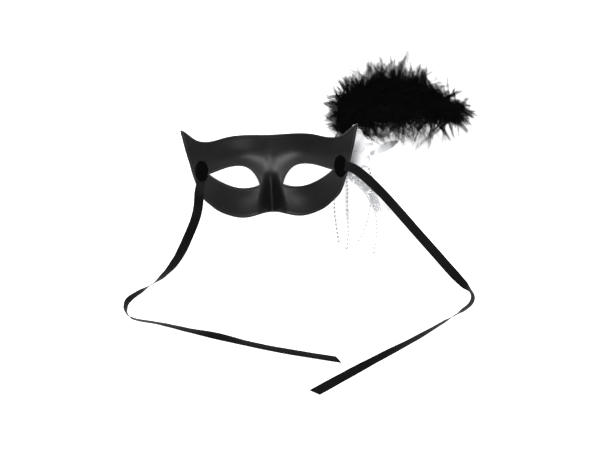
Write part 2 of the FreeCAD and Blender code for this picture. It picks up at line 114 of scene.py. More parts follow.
# ------------------------------------------------------------------ mesh helpers
class Bits:
    """Collects vertices, faces, UVs and material numbers, and makes one mesh piece of them."""

    def __init__(self):
        self.verts = []
        self.faces = []
        self.uvs = []
        self.slots = []

    def add(self, verts, faces, uvs=None, slot=0):
        start = len(self.verts)
        self.verts += [tuple(v) for v in verts]
        self.faces += [tuple(start + i for i in face) for face in faces]
        self.uvs += [tuple(uv) for uv in uvs] if uvs else [(0.0, 0.0)] * len(verts)
        self.slots += [slot] * len(faces)

    def build(self, name, materials, body="root", cad_slot=None, smooth=True):
        mesh = bpy.data.meshes.new(name)
        mesh.from_pydata(self.verts, [], self.faces)
        layer = mesh.uv_layers.new(name="UVMap")
        loops = np.zeros(len(mesh.loops), dtype=np.int32)
        mesh.loops.foreach_get("vertex_index", loops)
        layer.data.foreach_set("uv", np.array(self.uvs, dtype=np.float32)[loops].ravel())
        for material in materials:
            mesh.materials.append(material)
        mesh.polygons.foreach_set("material_index", self.slots)
        mesh.polygons.foreach_set("use_smooth", [smooth] * len(self.faces))
        mesh.update()
        return adopt(bpy.data.objects.new(name, mesh), body)


def adopt(piece, body):
    """Links a piece to the scene and lets it ride on its body."""
    bpy.context.scene.collection.objects.link(piece)
    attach(piece, body)
    return piece


def turned_frames(points, closed=False):
    """A tangent and two cross directions at each point of a line, with no sudden turns."""
    count = len(points)
    frames = []
    side = None
    for i, point in enumerate(points):
        before = points[i - 1] if closed or i > 0 else point
        after = points[(i + 1) % count] if closed or i < count - 1 else point
        along = (after - before).normalized()
        if side is None:
            side = along.orthogonal()
        side = (side - along * side.dot(along)).normalized()
        frames.append((along, side, along.cross(side)))
    return frames


def add_tube(bits, points, radius, sides=6, closed=False, caps=True):
    """A round tube along a line; radius is a number or a function of the point's number."""
    frames = turned_frames(points, closed)
    verts, uvs, faces = [], [], []
    travelled = 0.0
    for i, (point, (_, side, across)) in enumerate(zip(points, frames)):
        size = radius(i) if callable(radius) else radius
        travelled += (point - points[i - 1]).length if i else 0.0
        for k in range(sides):
            angle = 2 * math.pi * k / sides
            verts.append(point + side * (size * math.cos(angle))
                         + across * (size * math.sin(angle)))
            uvs.append((k / sides, travelled))
    rings = len(points)
    for i in range(rings if closed else rings - 1):
        j = (i + 1) % rings
        for k in range(sides):
            n = (k + 1) % sides
            faces.append((i * sides + k, i * sides + n, j * sides + n, j * sides + k))
    if caps and not closed:
        faces.append(tuple(reversed(range(sides))))
        faces.append(tuple(range((rings - 1) * sides, rings * sides)))
    bits.add(verts, faces, uvs)


def add_grid(bits, rows, uvs=None, slot=0, closed_rows=False):
    """A sheet of quads through rows of points."""
    across = len(rows[0])
    verts = [point for row in rows for point in row]
    faces = []
    for i in range(len(rows) - 1):
        for k in range(across if closed_rows else across - 1):
            n = (k + 1) % across
            faces.append((i * across + k, i * across + n,
                          (i + 1) * across + n, (i + 1) * across + k))
    bits.add(verts, faces, uvs, slot)


def add_ball(bits, centre, radius, along=Vector((0, 0, 1)), rings=10, sides=16, bore=0.0):
    """A ball with its poles, or the mouths of its bore, along a direction."""
    turn = Vector((0, 0, 1)).rotation_difference(along).to_matrix()
    low = math.asin(min(0.9, bore / radius)) if bore else 0.0
    rows, uvs = [], []
    for i in range(rings + 1):
        tilt = low + (math.pi - 2 * low) * i / rings
        height = -radius * math.cos(tilt)
        reach = radius * math.sin(tilt)
        row = [centre + turn @ Vector((reach * math.cos(2 * math.pi * k / sides),
                                       reach * math.sin(2 * math.pi * k / sides), height))
               for k in range(sides)]
        rows.append(row)
        uvs += [(k / sides, i / rings) for k in range(sides)]
    if bore:
        rows.append(rows[0])
        uvs += [(k / sides, 0.0) for k in range(sides)]
    add_grid(bits, rows, uvs, closed_rows=True)


def solidify(piece, thickness, offset=-1.0):
    """Gives a sheet its thickness for good."""
    made = piece.modifiers.new("thickness", "SOLIDIFY")
    made.thickness = thickness
    made.offset = offset
    apply_modifiers(piece)


def apply_modifiers(piece):
    """Keeps the shape that the modifiers give and removes them."""
    graph = bpy.context.evaluated_depsgraph_get()
    mesh = bpy.data.meshes.new_from_object(piece.evaluated_get(graph))
    old = piece.data
    piece.modifiers.clear()
    piece.data = mesh
    bpy.data.meshes.remove(old)


def nurbs_line(route, step):
    """Evenly spaced points along a smooth line whose control points are the route, in metres."""
    curve = bpy.data.curves.new("route", "CURVE")
    curve.dimensions = "3D"
    curve.resolution_u = 24
    spline = curve.splines.new("NURBS")
    spline.points.add(len(route) - 1)
    for point, place in zip(spline.points, route):
        point.co = (*place, 1.0)
    spline.order_u = 3
    spline.use_endpoint_u = True
    holder = bpy.data.objects.new("route", curve)
    mesh = bpy.data.meshes.new_from_object(holder)
    fine = [v.co.copy() for v in mesh.vertices]
    bpy.data.objects.remove(holder)
    bpy.data.curves.remove(curve)
    bpy.data.meshes.remove(mesh)
    return evenly(fine, step)


def evenly(points, step, closed=False):
    """The same line with points an even step apart."""
    line = points + points[:1] if closed else points
    places = np.array([tuple(p) for p in line])
    runs = np.linalg.norm(np.diff(places, axis=0), axis=1)
    at = np.concatenate([[0.0], np.cumsum(runs)])
    count = max(2, round(at[-1] / step))
    wanted = np.linspace(0.0, at[-1], count + 1)
    if closed:
        wanted = wanted[:-1]
    made = [np.interp(wanted, at, places[:, axis]) for axis in range(3)]
    return [Vector(p) for p in zip(*made)]


def millimetres(route):
    """A route given in millimetres, in metres."""
    return [Vector(point) * MM for point in route]


def ease(share):
    """A share from 0 to 1 that starts and ends gently."""
    share = min(1.0, max(0.0, share))
    return share * share * (3 - 2 * share)


def blend_keys(keys, at):
    """A value that eases between (place, value) keys."""
    if at <= keys[0][0]:
        return keys[0][1]
    for (low, first), (high, second) in zip(keys, keys[1:]):
        if at <= high:
            return first + (second - first) * ease((at - low) / (high - low))
    return keys[-1][1]


# ------------------------------------------------------------------ reading the frame
class Relief:
    """Heights of a CAD node's upper face, read on a grid and carried on a little past its edge."""

    STEP = 1.0 * MM
    MARGIN = 8 * MM

    def __init__(self, node):
        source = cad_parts[node]
        mesh = bmesh.new()
        mesh.from_mesh(source.data)
        tree = BVHTree.FromBMesh(mesh)
        mesh.free()
        low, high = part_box(node)
        self.origin = (low[0] - self.MARGIN, low[1] - self.MARGIN)
        columns = int((high[0] - low[0] + 2 * self.MARGIN) / self.STEP) + 2
        rows = int((high[1] - low[1] + 2 * self.MARGIN) / self.STEP) + 2
        heights = np.full((columns, rows), np.nan)
        for i in range(columns):
            for j in range(rows):
                x = self.origin[0] + i * self.STEP
                y = self.origin[1] + j * self.STEP
                hit = tree.ray_cast(Vector((x, y, high[2] + 0.01)), Vector((0, 0, -1)))[0]
                if hit is not None:
                    heights[i, j] = hit.z
        self.heights = self.carried_on(heights)

    def carried_on(self, heights):
        """Fills the cells beyond the edge from their neighbours, keeping the slope."""
        for _ in range(int(1.5 * self.MARGIN / self.STEP)):
            known = ~np.isnan(heights)
            total = np.zeros_like(heights)
            count = np.zeros_like(heights)
            filled = np.where(known, heights, 0.0)
            for dx, dy in ((1, 0), (-1, 0), (0, 1), (0, -1), (1, 1), (1, -1), (-1, 1), (-1, -1)):
                one = np.roll(filled, (dx, dy), (0, 1))
                two = np.roll(filled, (2 * dx, 2 * dy), (0, 1))
                both = (np.roll(known, (dx, dy), (0, 1)) & np.roll(known, (2 * dx, 2 * dy), (0, 1)))
                total += np.where(both, 2 * one - two, 0.0)
                count += both
            new = ~known & (count > 0)
            heights = np.where(new, total / np.maximum(count, 1), heights)
        lowest = np.nanmin(heights)
        return np.where(np.isnan(heights), lowest, heights)

    def __call__(self, x, y):
        i = (x - self.origin[0]) / self.STEP
        j = (y - self.origin[1]) / self.STEP
        i = min(max(i, 0.0), self.heights.shape[0] - 1.001)
        j = min(max(j, 0.0), self.heights.shape[1] - 1.001)
        a, b = int(i), int(j)
        u, v = i - a, j - b
        cell = self.heights
        return ((cell[a, b] * (1 - u) + cell[a + 1, b] * u) * (1 - v)
                + (cell[a, b + 1] * (1 - u) + cell[a + 1, b + 1] * u) * v)

    def normal(self, x, y):
        step = self.STEP
        slope_x = (self(x + step, y) - self(x - step, y)) / (2 * step)
        slope_y = (self(x, y + step) - self(x, y - step)) / (2 * step)
        return Vector((-slope_x, -slope_y, 1)).normalized()


def rim_loops(node):
    """The closed lines round the upper face of a CAD node, longest first."""
    mesh = bmesh.new()
    mesh.from_mesh(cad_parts[node].data)
    bmesh.ops.remove_doubles(mesh, verts=mesh.verts, dist=2e-6)
    mesh.normal_update()
    links = {}
    for edge in mesh.edges:
        if sum(face.normal.z > 0.1 for face in edge.link_faces) == 1:
            a, b = edge.verts
            links.setdefault(a, []).append(b)
            links.setdefault(b, []).append(a)
    loops = []
    unused = set(links)
    while unused:
        start = min(unused, key=lambda vert: (vert.co.x, vert.co.y))
        loop = [start]
        unused.discard(start)
        while True:
            onward = [vert for vert in links[loop[-1]] if vert in unused]
            if not onward:
                break
            loop.append(onward[0])
            unused.discard(onward[0])
        if len(loop) > 12:
            loops.append([vert.co.copy() for vert in loop])
    mesh.free()
    loops.sort(key=lambda line: -sum((b - a).length for a, b in zip(line, line[1:])))
    return loops


READ = {}


def relief(node):
    """The upper surface of a node, read once."""
    if node not in READ:
        READ[node] = Relief(node)
    return READ[node]


SMOOTHING_ROUNDS = 3


def eased(loop):
    """The same closed line with its small corners smoothed away."""
    for _ in range(SMOOTHING_ROUNDS):
        loop = [(a + b * 2 + c) / 4 for a, b, c in zip(loop[-1:] + loop[:-1], loop,
                                                       loop[1:] + loop[:1])]
    return loop


def rims():
    """The mask's outline and its eye holes, as evenly spaced lines on the lining's upper face."""
    if "rims" not in READ:
        loops = rim_loops("lining")[:3]
        READ["rims"] = [eased(evenly(loop, 0.6 * MM, closed=True)) for loop in loops]
    return READ["rims"]


def signed_area(loop):
    """The area of a closed line, positive where it runs anticlockwise."""
    return sum(a.x * b.y - b.x * a.y for a, b in zip(loop, loop[1:] + loop[:1])) / 2


def outward(loop, outside_is_out):
    """Level directions across a closed line, away from the cloth that it bounds."""
    sign = 1 if (signed_area(loop) > 0) == outside_is_out else -1
    ways = []
    for i in range(len(loop)):
        along = loop[(i + 2) % len(loop)] - loop[i - 2]
        ways.append(Vector((along.y, -along.x, 0)).normalized() * sign)
    return ways


# ------------------------------------------------------------------ shader node groups
class Nodes:
    """Places and links shader nodes, in a material or in a group."""

    def __init__(self, tree):
        self.tree = tree
        self.count = 0

    def add(self, kind, settings=None, **inputs):
        node = self.tree.nodes.new(kind)
        node.location = (self.count * 180, -(self.count % 4) * 160)
        self.count += 1
        for name, value in (settings or {}).items():
            setattr(node, name, value)
        for name, value in inputs.items():
            self.set(node, name.replace("_", " "), value)
        return node

    def set(self, node, socket, value):
        target = node.inputs[int(socket[1:])] if socket[0] == "i" and socket[1:].isdigit() \
            else node.inputs[socket]
        if isinstance(value, bpy.types.NodeSocket):
            self.tree.links.new(value, target)
        else:
            target.default_value = value

    def math(self, operation, first, second=0.0):
        return self.add("ShaderNodeMath", {"operation": operation}, i0=first, i1=second).outputs[0]

    def ramp(self, value, *stops):
        node = self.add("ShaderNodeValToRGB", Fac=value)
        while len(node.color_ramp.elements) < len(stops):
            node.color_ramp.elements.new(0.5)
        for element, (place, colour) in zip(node.color_ramp.elements, stops):
            element.position = place
            element.color = colour
        return node.outputs["Color"]

    def share(self, value, low, high, first=0.0, last=1.0):
        node = self.add("ShaderNodeMapRange", {"interpolation_type": "SMOOTHSTEP"}, Value=value)
        for socket, number in (("From Min", low), ("From Max", high), ("To Min", first),
                               ("To Max", last)):
            node.inputs[socket].default_value = number
        return node.outputs["Result"]

    def group(self, name, **inputs):
        node = self.add("ShaderNodeGroup", {"node_tree": bpy.data.node_groups[name]}, **inputs)
        return node.outputs


def new_group(name, inputs, outputs):
    """An empty shader group with its sockets."""
    tree = bpy.data.node_groups.new(name, "ShaderNodeTree")
    for socket, kind, default in inputs:
        made = tree.interface.new_socket(socket, in_out="INPUT", socket_type=kind)
        if default is not None:
            made.default_value = default
    for socket, kind in outputs:
        tree.interface.new_socket(socket, in_out="OUTPUT", socket_type=kind)
    build = Nodes(tree)
    start = build.add("NodeGroupInput")
    end = build.add("NodeGroupOutput")
    return build, start.outputs, end


def weave_group():
    """Crossing threads: a height, and a mask that is high on the threads that lie on top."""
    build, given, end = new_group(
        "thread_weave",
        [("Place", "NodeSocketVector", None), ("Threads", "NodeSocketFloat", 2500.0),
         ("Slub", "NodeSocketFloat", 0.3)],
        [("Height", "NodeSocketFloat"), ("Warp", "NodeSocketFloat")])
    parts = build.add("ShaderNodeSeparateXYZ", Vector=given["Place"]).outputs
    slub = build.add("ShaderNodeTexNoise", Vector=given["Place"], Scale=420.0,
                     Detail=2.0).outputs["Fac"]
    shift = build.math("MULTIPLY", build.math("MULTIPLY", slub, given["Slub"]), 6.0)
    waves = []
    for axis in ("X", "Y"):
        turns = build.math("MULTIPLY", parts[axis], given["Threads"])
        wave = build.math("SINE", build.math("ADD", build.math("MULTIPLY", turns, 2 * math.pi), shift))
        waves.append(build.math("ADD", build.math("MULTIPLY", wave, 0.5), 0.5))
    build.set(end, "Height", build.math("MAXIMUM", *waves))
    build.set(end, "Warp", waves[0])


def mottle_group():
    """Soft patches of uneven shade, and a fine grain."""
    build, given, end = new_group(
        "cloth_mottle",
        [("Place", "NodeSocketVector", None), ("Patches", "NodeSocketFloat", 60.0),
         ("Grain", "NodeSocketFloat", 1800.0)],
        [("Shade", "NodeSocketFloat"), ("Fine", "NodeSocketFloat")])
    patches = build.add("ShaderNodeTexNoise", Vector=given["Place"], Detail=4.0,
                        Roughness=0.6)
    build.set(patches, "Scale", given["Patches"])
    grain = build.add("ShaderNodeTexNoise", Vector=given["Place"], Detail=5.0, Roughness=0.7)
    build.set(grain, "Scale", given["Grain"])
    build.set(end, "Shade", patches.outputs["Fac"])
    build.set(end, "Fine", grain.outputs["Fac"])


def lint_group():
    """Sparse pale specks of dust and lint."""
    build, given, end = new_group(
        "lint_specks",
        [("Place", "NodeSocketVector", None), ("Scale", "NodeSocketFloat", 420.0)],
        [("Mask", "NodeSocketFloat")])
    cells = build.add("ShaderNodeTexVoronoi", Vector=given["Place"], Randomness=1.0)
    build.set(cells, "Scale", given["Scale"])
    spot = build.share(cells.outputs["Distance"], 0.05, 0.11, 1.0, 0.0)
    chosen = build.share(cells.outputs["Color"], 0.78, 0.82)
    build.set(end, "Mask", build.math("MULTIPLY", spot, chosen))


def start_material(name):
    """A new finish with one shader, and the helper that adds nodes to it."""
    material = bpy.data.materials.new(name)
    material.use_nodes = True
    material.node_tree.nodes.clear()
    build = Nodes(material.node_tree)
    shader = build.add("ShaderNodeBsdfPrincipled")
    output = build.add("ShaderNodeOutputMaterial")
    build.tree.links.new(shader.outputs["BSDF"], output.inputs["Surface"])
    return build, shader


def shades(build, value, dark, light):
    """A colour between dark and light, by value."""
    return build.ramp(value, (0.25, dark), (0.75, light))


def scaled(colour, factor):
    """The colour made lighter or darker, and opaque."""
    return (*(min(1.0, channel * factor) for channel in colour[:3]), 1)


def woven(name, colour, roughness, threads, bump, place="Object", slub=0.3, lint=0.0, sheen=0.0,
          spread=1.6, specular=0.5, metallic=0.0, alpha=None, anisotropy=0.0, rim=False):
    """A cloth: weave, uneven shade, lint, and bump from the threads."""
    build, shader = start_material(name)
    where = build.add("ShaderNodeTexCoord").outputs[place]
    weave = build.group("thread_weave", Place=where, Threads=threads, Slub=slub)
    mottle = build.group("cloth_mottle", Place=where)
    tone = build.math("ADD", build.math("MULTIPLY", mottle["Shade"], 0.6),
                      build.math("MULTIPLY", weave["Height"], 0.4))
    tint = shades(build, tone, scaled(colour, 1 / spread), scaled(colour, spread))
    if lint:
        specks = build.group("lint_specks", Place=where)
        amount = build.math("MULTIPLY", specks["Mask"], lint)
        mix = build.add("ShaderNodeMix", {"data_type": "RGBA"})
        mix.inputs["Factor"].default_value = 0.0
        build.tree.links.new(amount, mix.inputs["Factor"])
        build.tree.links.new(tint, mix.inputs["A"])
        mix.inputs["B"].default_value = (0.35, 0.35, 0.37, 1)
        tint = mix.outputs["Result"]
    build.set(shader, "Base Color", tint)
    build.set(shader, "Roughness", build.share(mottle["Fine"], 0.3, 0.7, roughness * 0.85,
                                               min(1.0, roughness * 1.15)))
    shader.inputs["Sheen Weight"].default_value = sheen
    shader.inputs["Sheen Roughness"].default_value = 0.4
    shader.inputs["Specular IOR Level"].default_value = specular
    shader.inputs["Metallic"].default_value = metallic
    shader.inputs["Anisotropic"].default_value = anisotropy
    height = build.math("ADD", weave["Height"], build.math("MULTIPLY", mottle["Fine"], 0.5))
    if rim:
        far = build.add("ShaderNodeAttribute", {"attribute_name": "rim"}).outputs["Fac"]
        groove = build.share(build.math("ABSOLUTE", build.math("SUBTRACT", far, 2.6 * MM)),
                             0.0, 0.45 * MM, -5.0, 0.0)
        height = build.math("ADD", height, groove)
    raised = build.add("ShaderNodeBump", Strength=bump, Distance=0.1 * MM, Height=height)
    build.set(shader, "Normal", raised.outputs["Normal"])
    if alpha is not None:
        holes = build.share(weave["Height"], 0.35, 0.9, alpha * 0.6, min(1.0, alpha * 1.3))
        build.set(shader, "Alpha", holes)


def make_materials():
    """Every finish of the mask, by name."""
    weave_group()
    mottle_group()
    lint_group()
    black = tuple(colours().black_cloth)
    felt = tuple(colours().felt)
    silver = tuple(colours().silver)
    petal = tuple(colours().petal)
    down = tuple(colours().feather)
    woven("lining_satin", scaled(black, 0.72), 0.36, 2300.0, 0.35, lint=0.06, specular=0.2,
          rim=True)
    woven("shell_board", (0.02, 0.02, 0.02, 1), 0.7, 900.0, 0.3, lint=0.1)
    woven("front_velvet", (0.006, 0.006, 0.007, 1), 0.85, 3400.0, 0.5, sheen=0.12, lint=0.12,
          specular=0.15)
    woven("ribbon_satin", scaled(black, 0.7), 0.42, 4200.0, 0.20, place="UV", slub=0.1,
          specular=0.02, anisotropy=0.3, lint=0.02)
    woven("patch_felt", scaled(felt, 0.6), 0.95, 1300.0, 0.9, slub=2.5, lint=0.03,
          specular=0.01)
    woven("binding_satin", scaled(black, 1.1), 0.4, 2600.0, 0.4, lint=0.1, sheen=0.02,
          specular=0.2)
    woven("silver_braid", silver, 0.34, 3000.0, 0.5, metallic=0.85, spread=1.4)
    woven("petal_satin", petal, 0.38, 3800.0, 0.15, place="UV", sheen=0.4, spread=1.12)
    woven("petal_organza", scaled(petal, 1.1), 0.3, 2600.0, 0.25, place="UV", spread=1.1,
          alpha=0.72, metallic=0.1)
    woven("organza_sheer", scaled(petal, 1.12), 0.28, 2200.0, 0.25, place="UV", spread=1.1,
          alpha=0.5, metallic=0.15)
    woven("lace_thread", scaled(silver, 1.1), 0.4, 3000.0, 0.4, metallic=0.6, spread=1.3)
    woven("strand_thread", (0.72, 0.72, 0.74, 1), 0.6, 5000.0, 0.4, spread=1.2)
    woven("wrap_thread", scaled(black, 1.3), 0.55, 4000.0, 0.5, spread=1.5, specular=0.15)
    woven("pad_felt", scaled(felt, 2.0), 0.95, 1300.0, 0.9, slub=2.5, lint=0.15, specular=0.05)
    quill_horn()
    feather_down(down)
    bead_metal(silver)
    sequin_foil()
    gem_glass()
    floor_paper()


def quill_horn():
    """Dark horn of the quill and the shafts."""
    build, shader = start_material("quill_horn")
    where = build.add("ShaderNodeTexCoord").outputs["Object"]
    mottle = build.group("cloth_mottle", Place=where, Patches=180.0, Grain=900.0)
    build.set(shader, "Base Color", shades(build, mottle["Shade"], (0.02, 0.018, 0.015, 1),
                                           (0.09, 0.08, 0.07, 1)))
    build.set(shader, "Roughness", build.share(mottle["Fine"], 0.3, 0.7, 0.25, 0.45))
    raised = build.add("ShaderNodeBump", Strength=0.3, Distance=0.05 * MM, Height=mottle["Fine"])
    build.set(shader, "Normal", raised.outputs["Normal"])


def feather_down(colour):
    """Down: near black, with a soft sheen that varies from barb to barb."""
    build, shader = start_material("feather_down")
    where = build.add("ShaderNodeTexCoord").outputs["UV"]
    parts = build.add("ShaderNodeSeparateXYZ", Vector=where).outputs
    barbs = build.add("ShaderNodeTexNoise", Vector=where, Scale=9.0, Detail=3.0).outputs["Fac"]
    tone = build.math("ADD", build.math("MULTIPLY", barbs, 0.7),
                      build.math("MULTIPLY", parts["X"], 0.3))
    build.set(shader, "Base Color", shades(build, tone, scaled(colour, 0.6), scaled(colour, 2.6)))
    build.set(shader, "Roughness", build.share(barbs, 0.3, 0.7, 0.5, 0.75))
    shader.inputs["Specular IOR Level"].default_value = 0.04
    raised = build.add("ShaderNodeBump", Strength=0.2, Distance=0.05 * MM, Height=barbs)
    build.set(shader, "Normal", raised.outputs["Normal"])


def bead_metal(silver):
    """Metallised beads with small rubbed spots."""
    build, shader = start_material("bead_metal")
    where = build.add("ShaderNodeTexCoord").outputs["Object"]
    mottle = build.group("cloth_mottle", Place=where, Patches=500.0, Grain=2400.0)
    build.set(shader, "Base Color", shades(build, mottle["Shade"], scaled(silver, 0.8),
                                           scaled(silver, 1.3)))
    build.set(shader, "Metallic", build.share(mottle["Shade"], 0.35, 0.6, 0.7, 0.95))
    build.set(shader, "Roughness", build.share(mottle["Fine"], 0.3, 0.7, 0.14, 0.3))
    shader.inputs["Coat Weight"].default_value = 0.4
    raised = build.add("ShaderNodeBump", Strength=0.08, Distance=0.05 * MM, Height=mottle["Fine"])
    build.set(shader, "Normal", raised.outputs["Normal"])


def sequin_foil():
    """Bright foil of the sequins."""
    build, shader = start_material("sequin_foil")
    where = build.add("ShaderNodeTexCoord").outputs["Object"]
    mottle = build.group("cloth_mottle", Place=where, Patches=350.0, Grain=1500.0)
    build.set(shader, "Base Color", shades(build, mottle["Shade"], (0.6, 0.62, 0.66, 1),
                                           (0.95, 0.96, 1.0, 1)))
    build.set(shader, "Metallic", build.share(mottle["Shade"], 0.3, 0.6, 0.8, 1.0))
    build.set(shader, "Roughness", build.share(mottle["Fine"], 0.3, 0.7, 0.08, 0.22))
    raised = build.add("ShaderNodeBump", Strength=0.15, Distance=0.05 * MM, Height=mottle["Fine"])
    build.set(shader, "Normal", raised.outputs["Normal"])


def gem_glass():
    """Foil-backed cut stone."""
    build, shader = start_material("gem_glass")
    where = build.add("ShaderNodeTexCoord").outputs["Object"]
    mottle = build.group("cloth_mottle", Place=where, Patches=420.0, Grain=1200.0)
    build.set(shader, "Base Color", shades(build, mottle["Shade"], (0.62, 0.66, 0.74, 1),
                                           (0.9, 0.93, 0.98, 1)))
    build.set(shader, "Roughness", build.share(mottle["Fine"], 0.3, 0.7, 0.04, 0.12))
    build.set(shader, "Metallic", build.share(mottle["Shade"], 0.3, 0.7, 0.45, 0.7))
    shader.inputs["Coat Weight"].default_value = 1.0


def floor_paper():
    """The stage's pale paper."""
    build, shader = start_material("floor_paper")
    where = build.add("ShaderNodeTexCoord").outputs["Object"]
    mottle = build.group("cloth_mottle", Place=where, Patches=6.0, Grain=900.0)
    tint = shades(build, mottle["Shade"], (0.90, 0.90, 0.90, 1), (0.93, 0.93, 0.93, 1))
    build.set(shader, "Base Color", tint)
    build.set(shader, "Roughness", build.share(mottle["Fine"], 0.3, 0.7, 0.85, 0.95))
    build.set(shader, "Emission Color", tint)
    shader.inputs["Emission Strength"].default_value = 0.9


def finish(name):
    """The finish of that name."""
    return bpy.data.materials[name]


def dress(node, material):
    """Gives a CAD node that stays its finish."""
    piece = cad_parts[node]
    if not piece.material_slots:
        piece.data.materials.append(None)
    for held in piece.material_slots:
        held.link = "OBJECT"
        held.material = finish(material)


# ------------------------------------------------------------------ the mask itself
# Layers under the lining's upper face, measured straight down.
COVER_BOTTOM = 2.4 * MM


def winding(points, loop):
    """Which of the points lie inside a closed line."""
    inside = np.zeros(len(points), dtype=bool)
    x, y = points[:, 0], points[:, 1]
    for a, b in zip(loop, loop[1:] + loop[:1]):
        crosses = (a.y > y) != (b.y > y)
        if crosses.any():
            at = a.x + (y - a.y) * (b.x - a.x) / (b.y - a.y if b.y != a.y else 1.0)
            inside ^= crosses & (x < at)
    return inside


def rim_distance(points, loops):
    """How far each point is from the nearest of the closed lines, seen from above."""
    nearest = np.full(len(points), 1.0)
    for loop in loops:
        line = np.array([(p.x, p.y) for p in loop])
        for start in range(0, len(points), 2000):
            part = points[start:start + 2000]
            gaps = np.linalg.norm(part[:, None, :] - line[None, :, :], axis=2).min(axis=1)
            nearest[start:start + 2000] = np.minimum(nearest[start:start + 2000], gaps)
    return nearest


def make_lining():
    """The satin glued inside the mask, trimmed to the outline and the eye holes."""
    outline, *eyes = rims()
    low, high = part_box("lining")
    step = 1.1 * MM
    grid = np.array([(x, y) for x in np.arange(low[0], high[0], step)
                     for y in np.arange(low[1], high[1], step)])
    keep = winding(grid, outline)
    for eye in eyes:
        keep &= ~winding(grid, eye)
    grid = grid[keep]
    grid = grid[rim_distance(grid, [outline, *eyes]) > 0.55 * MM]
    flat = [Vector((x, y)) for x, y in grid]
    edges = []
    for loop in (outline, *eyes):
        start = len(flat)
        flat += [Vector((p.x, p.y)) for p in loop]
        edges += [(start + i, start + (i + 1) % len(loop)) for i in range(len(loop))]
    verts, _, faces, *_ = delaunay_2d_cdt(flat, edges, [], 0, 1e-7)
    centres = np.array([tuple(sum((verts[i] for i in face), Vector((0, 0))) / len(face))
                        for face in faces])
    keep = winding(centres, outline)
    for eye in eyes:
        keep &= ~winding(centres, eye)
    places = np.array([tuple(v) for v in verts])
    far = rim_distance(places, [outline, *eyes])
    lining = relief("lining")
    bits = Bits()
    # The folded hem stands a little proud of the cloth inside it.
    solid = [Vector((v.x, v.y, lining(v.x, v.y) + 0.12 * MM * (1 - ease((d - 1.8 * MM) / MM))))
             for v, d in zip(verts, far)]
    used = [tuple(face) for face, inside in zip(faces, keep) if inside]
    bits.add(solid, used, [(v.x, v.y) for v in verts])
    piece = bits.build("lining_cloth", [finish("lining_satin")], cad_slot="lining")
    layer = piece.data.attributes.new("rim", "FLOAT", "POINT")
    layer.data.foreach_set("value", far.astype(np.float32))
    clean = bmesh.new()
    clean.from_mesh(piece.data)
    bmesh.ops.delete(clean, geom=[v for v in clean.verts if not v.link_faces], context="VERTS")
    bmesh.ops.recalc_face_normals(clean, faces=clean.faces)
    if sum(face.normal.z for face in clean.faces) < 0:
        bmesh.ops.reverse_faces(clean, faces=clean.faces)
    clean.to_mesh(piece.data)
    clean.free()
    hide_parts("lining")


def make_binding():
    """Cloth folded over the layers' edges, round the outline and each eye hole."""
    lining = relief("lining")
    bits = Bits()
    width = sizes().binding_width
    # Out from the rim, and up from the lining's face.
    section = [(-width, 0.02), (-width * 0.9, 0.26), (-width * 0.5, 0.36), (-0.1 * MM, 0.34),
               (0.28 * MM, 0.05), (0.4 * MM, -0.8), (0.36 * MM, -1.9), (0.05 * MM, -2.5),
               (-0.8 * MM, -2.62), (-1.3 * MM, -2.5)]
    for number, loop in enumerate(rims()):
        ways = outward(loop, number == 0)
        rows, uvs = [], []
        travelled = 0.0
        for i, (point, way) in enumerate(zip(loop, ways)):
            travelled += (point - loop[i - 1]).length if i else 0.0
            base = lining(point.x, point.y)
            row = []
            for k, (out, up) in enumerate(section):
                x, y = point.x + way.x * out, point.y + way.y * out
                top = lining(x, y) if out < 0 else base
                row.append(Vector((x, y, top + up * MM)))
                uvs.append((travelled, k * 0.6 * MM))
            rows.append(row)
        rows.append(rows[0])
        uvs += [(travelled, k * 0.6 * MM) for k in range(len(section))]
        add_grid(bits, rows, uvs)
    binding = bits.build("edge_binding", [finish("binding_satin")], cad_slot="lining")
    solidify(binding, 0.12 * MM, 0.0)


def make_stitches():
    """Small running stitches through the hem, just inside the binding."""
    lining = relief("lining")
    bits = Bits()
    for number, loop in enumerate(rims()):
        inner = outward(loop, number == 0)
        for i in range(0, len(loop) - 3, 5):
            points = []
            for k in range(4):
                point, way = loop[i + k], inner[i + k]
                x, y = point.x - way.x * 2.5 * MM, point.y - way.y * 2.5 * MM
                lift = 0.16 * MM * math.sin(math.pi * k / 3)
                points.append(Vector((x, y, lining(x, y) + lift)))
            add_tube(bits, points, 0.11 * MM, 5)
    bits.build("hem_stitches", [finish("wrap_thread")], cad_slot="lining")


# How far each loop of the heading leans, as a share of the whole way round.
LOOP_SWING = 0.0012 * 0.25


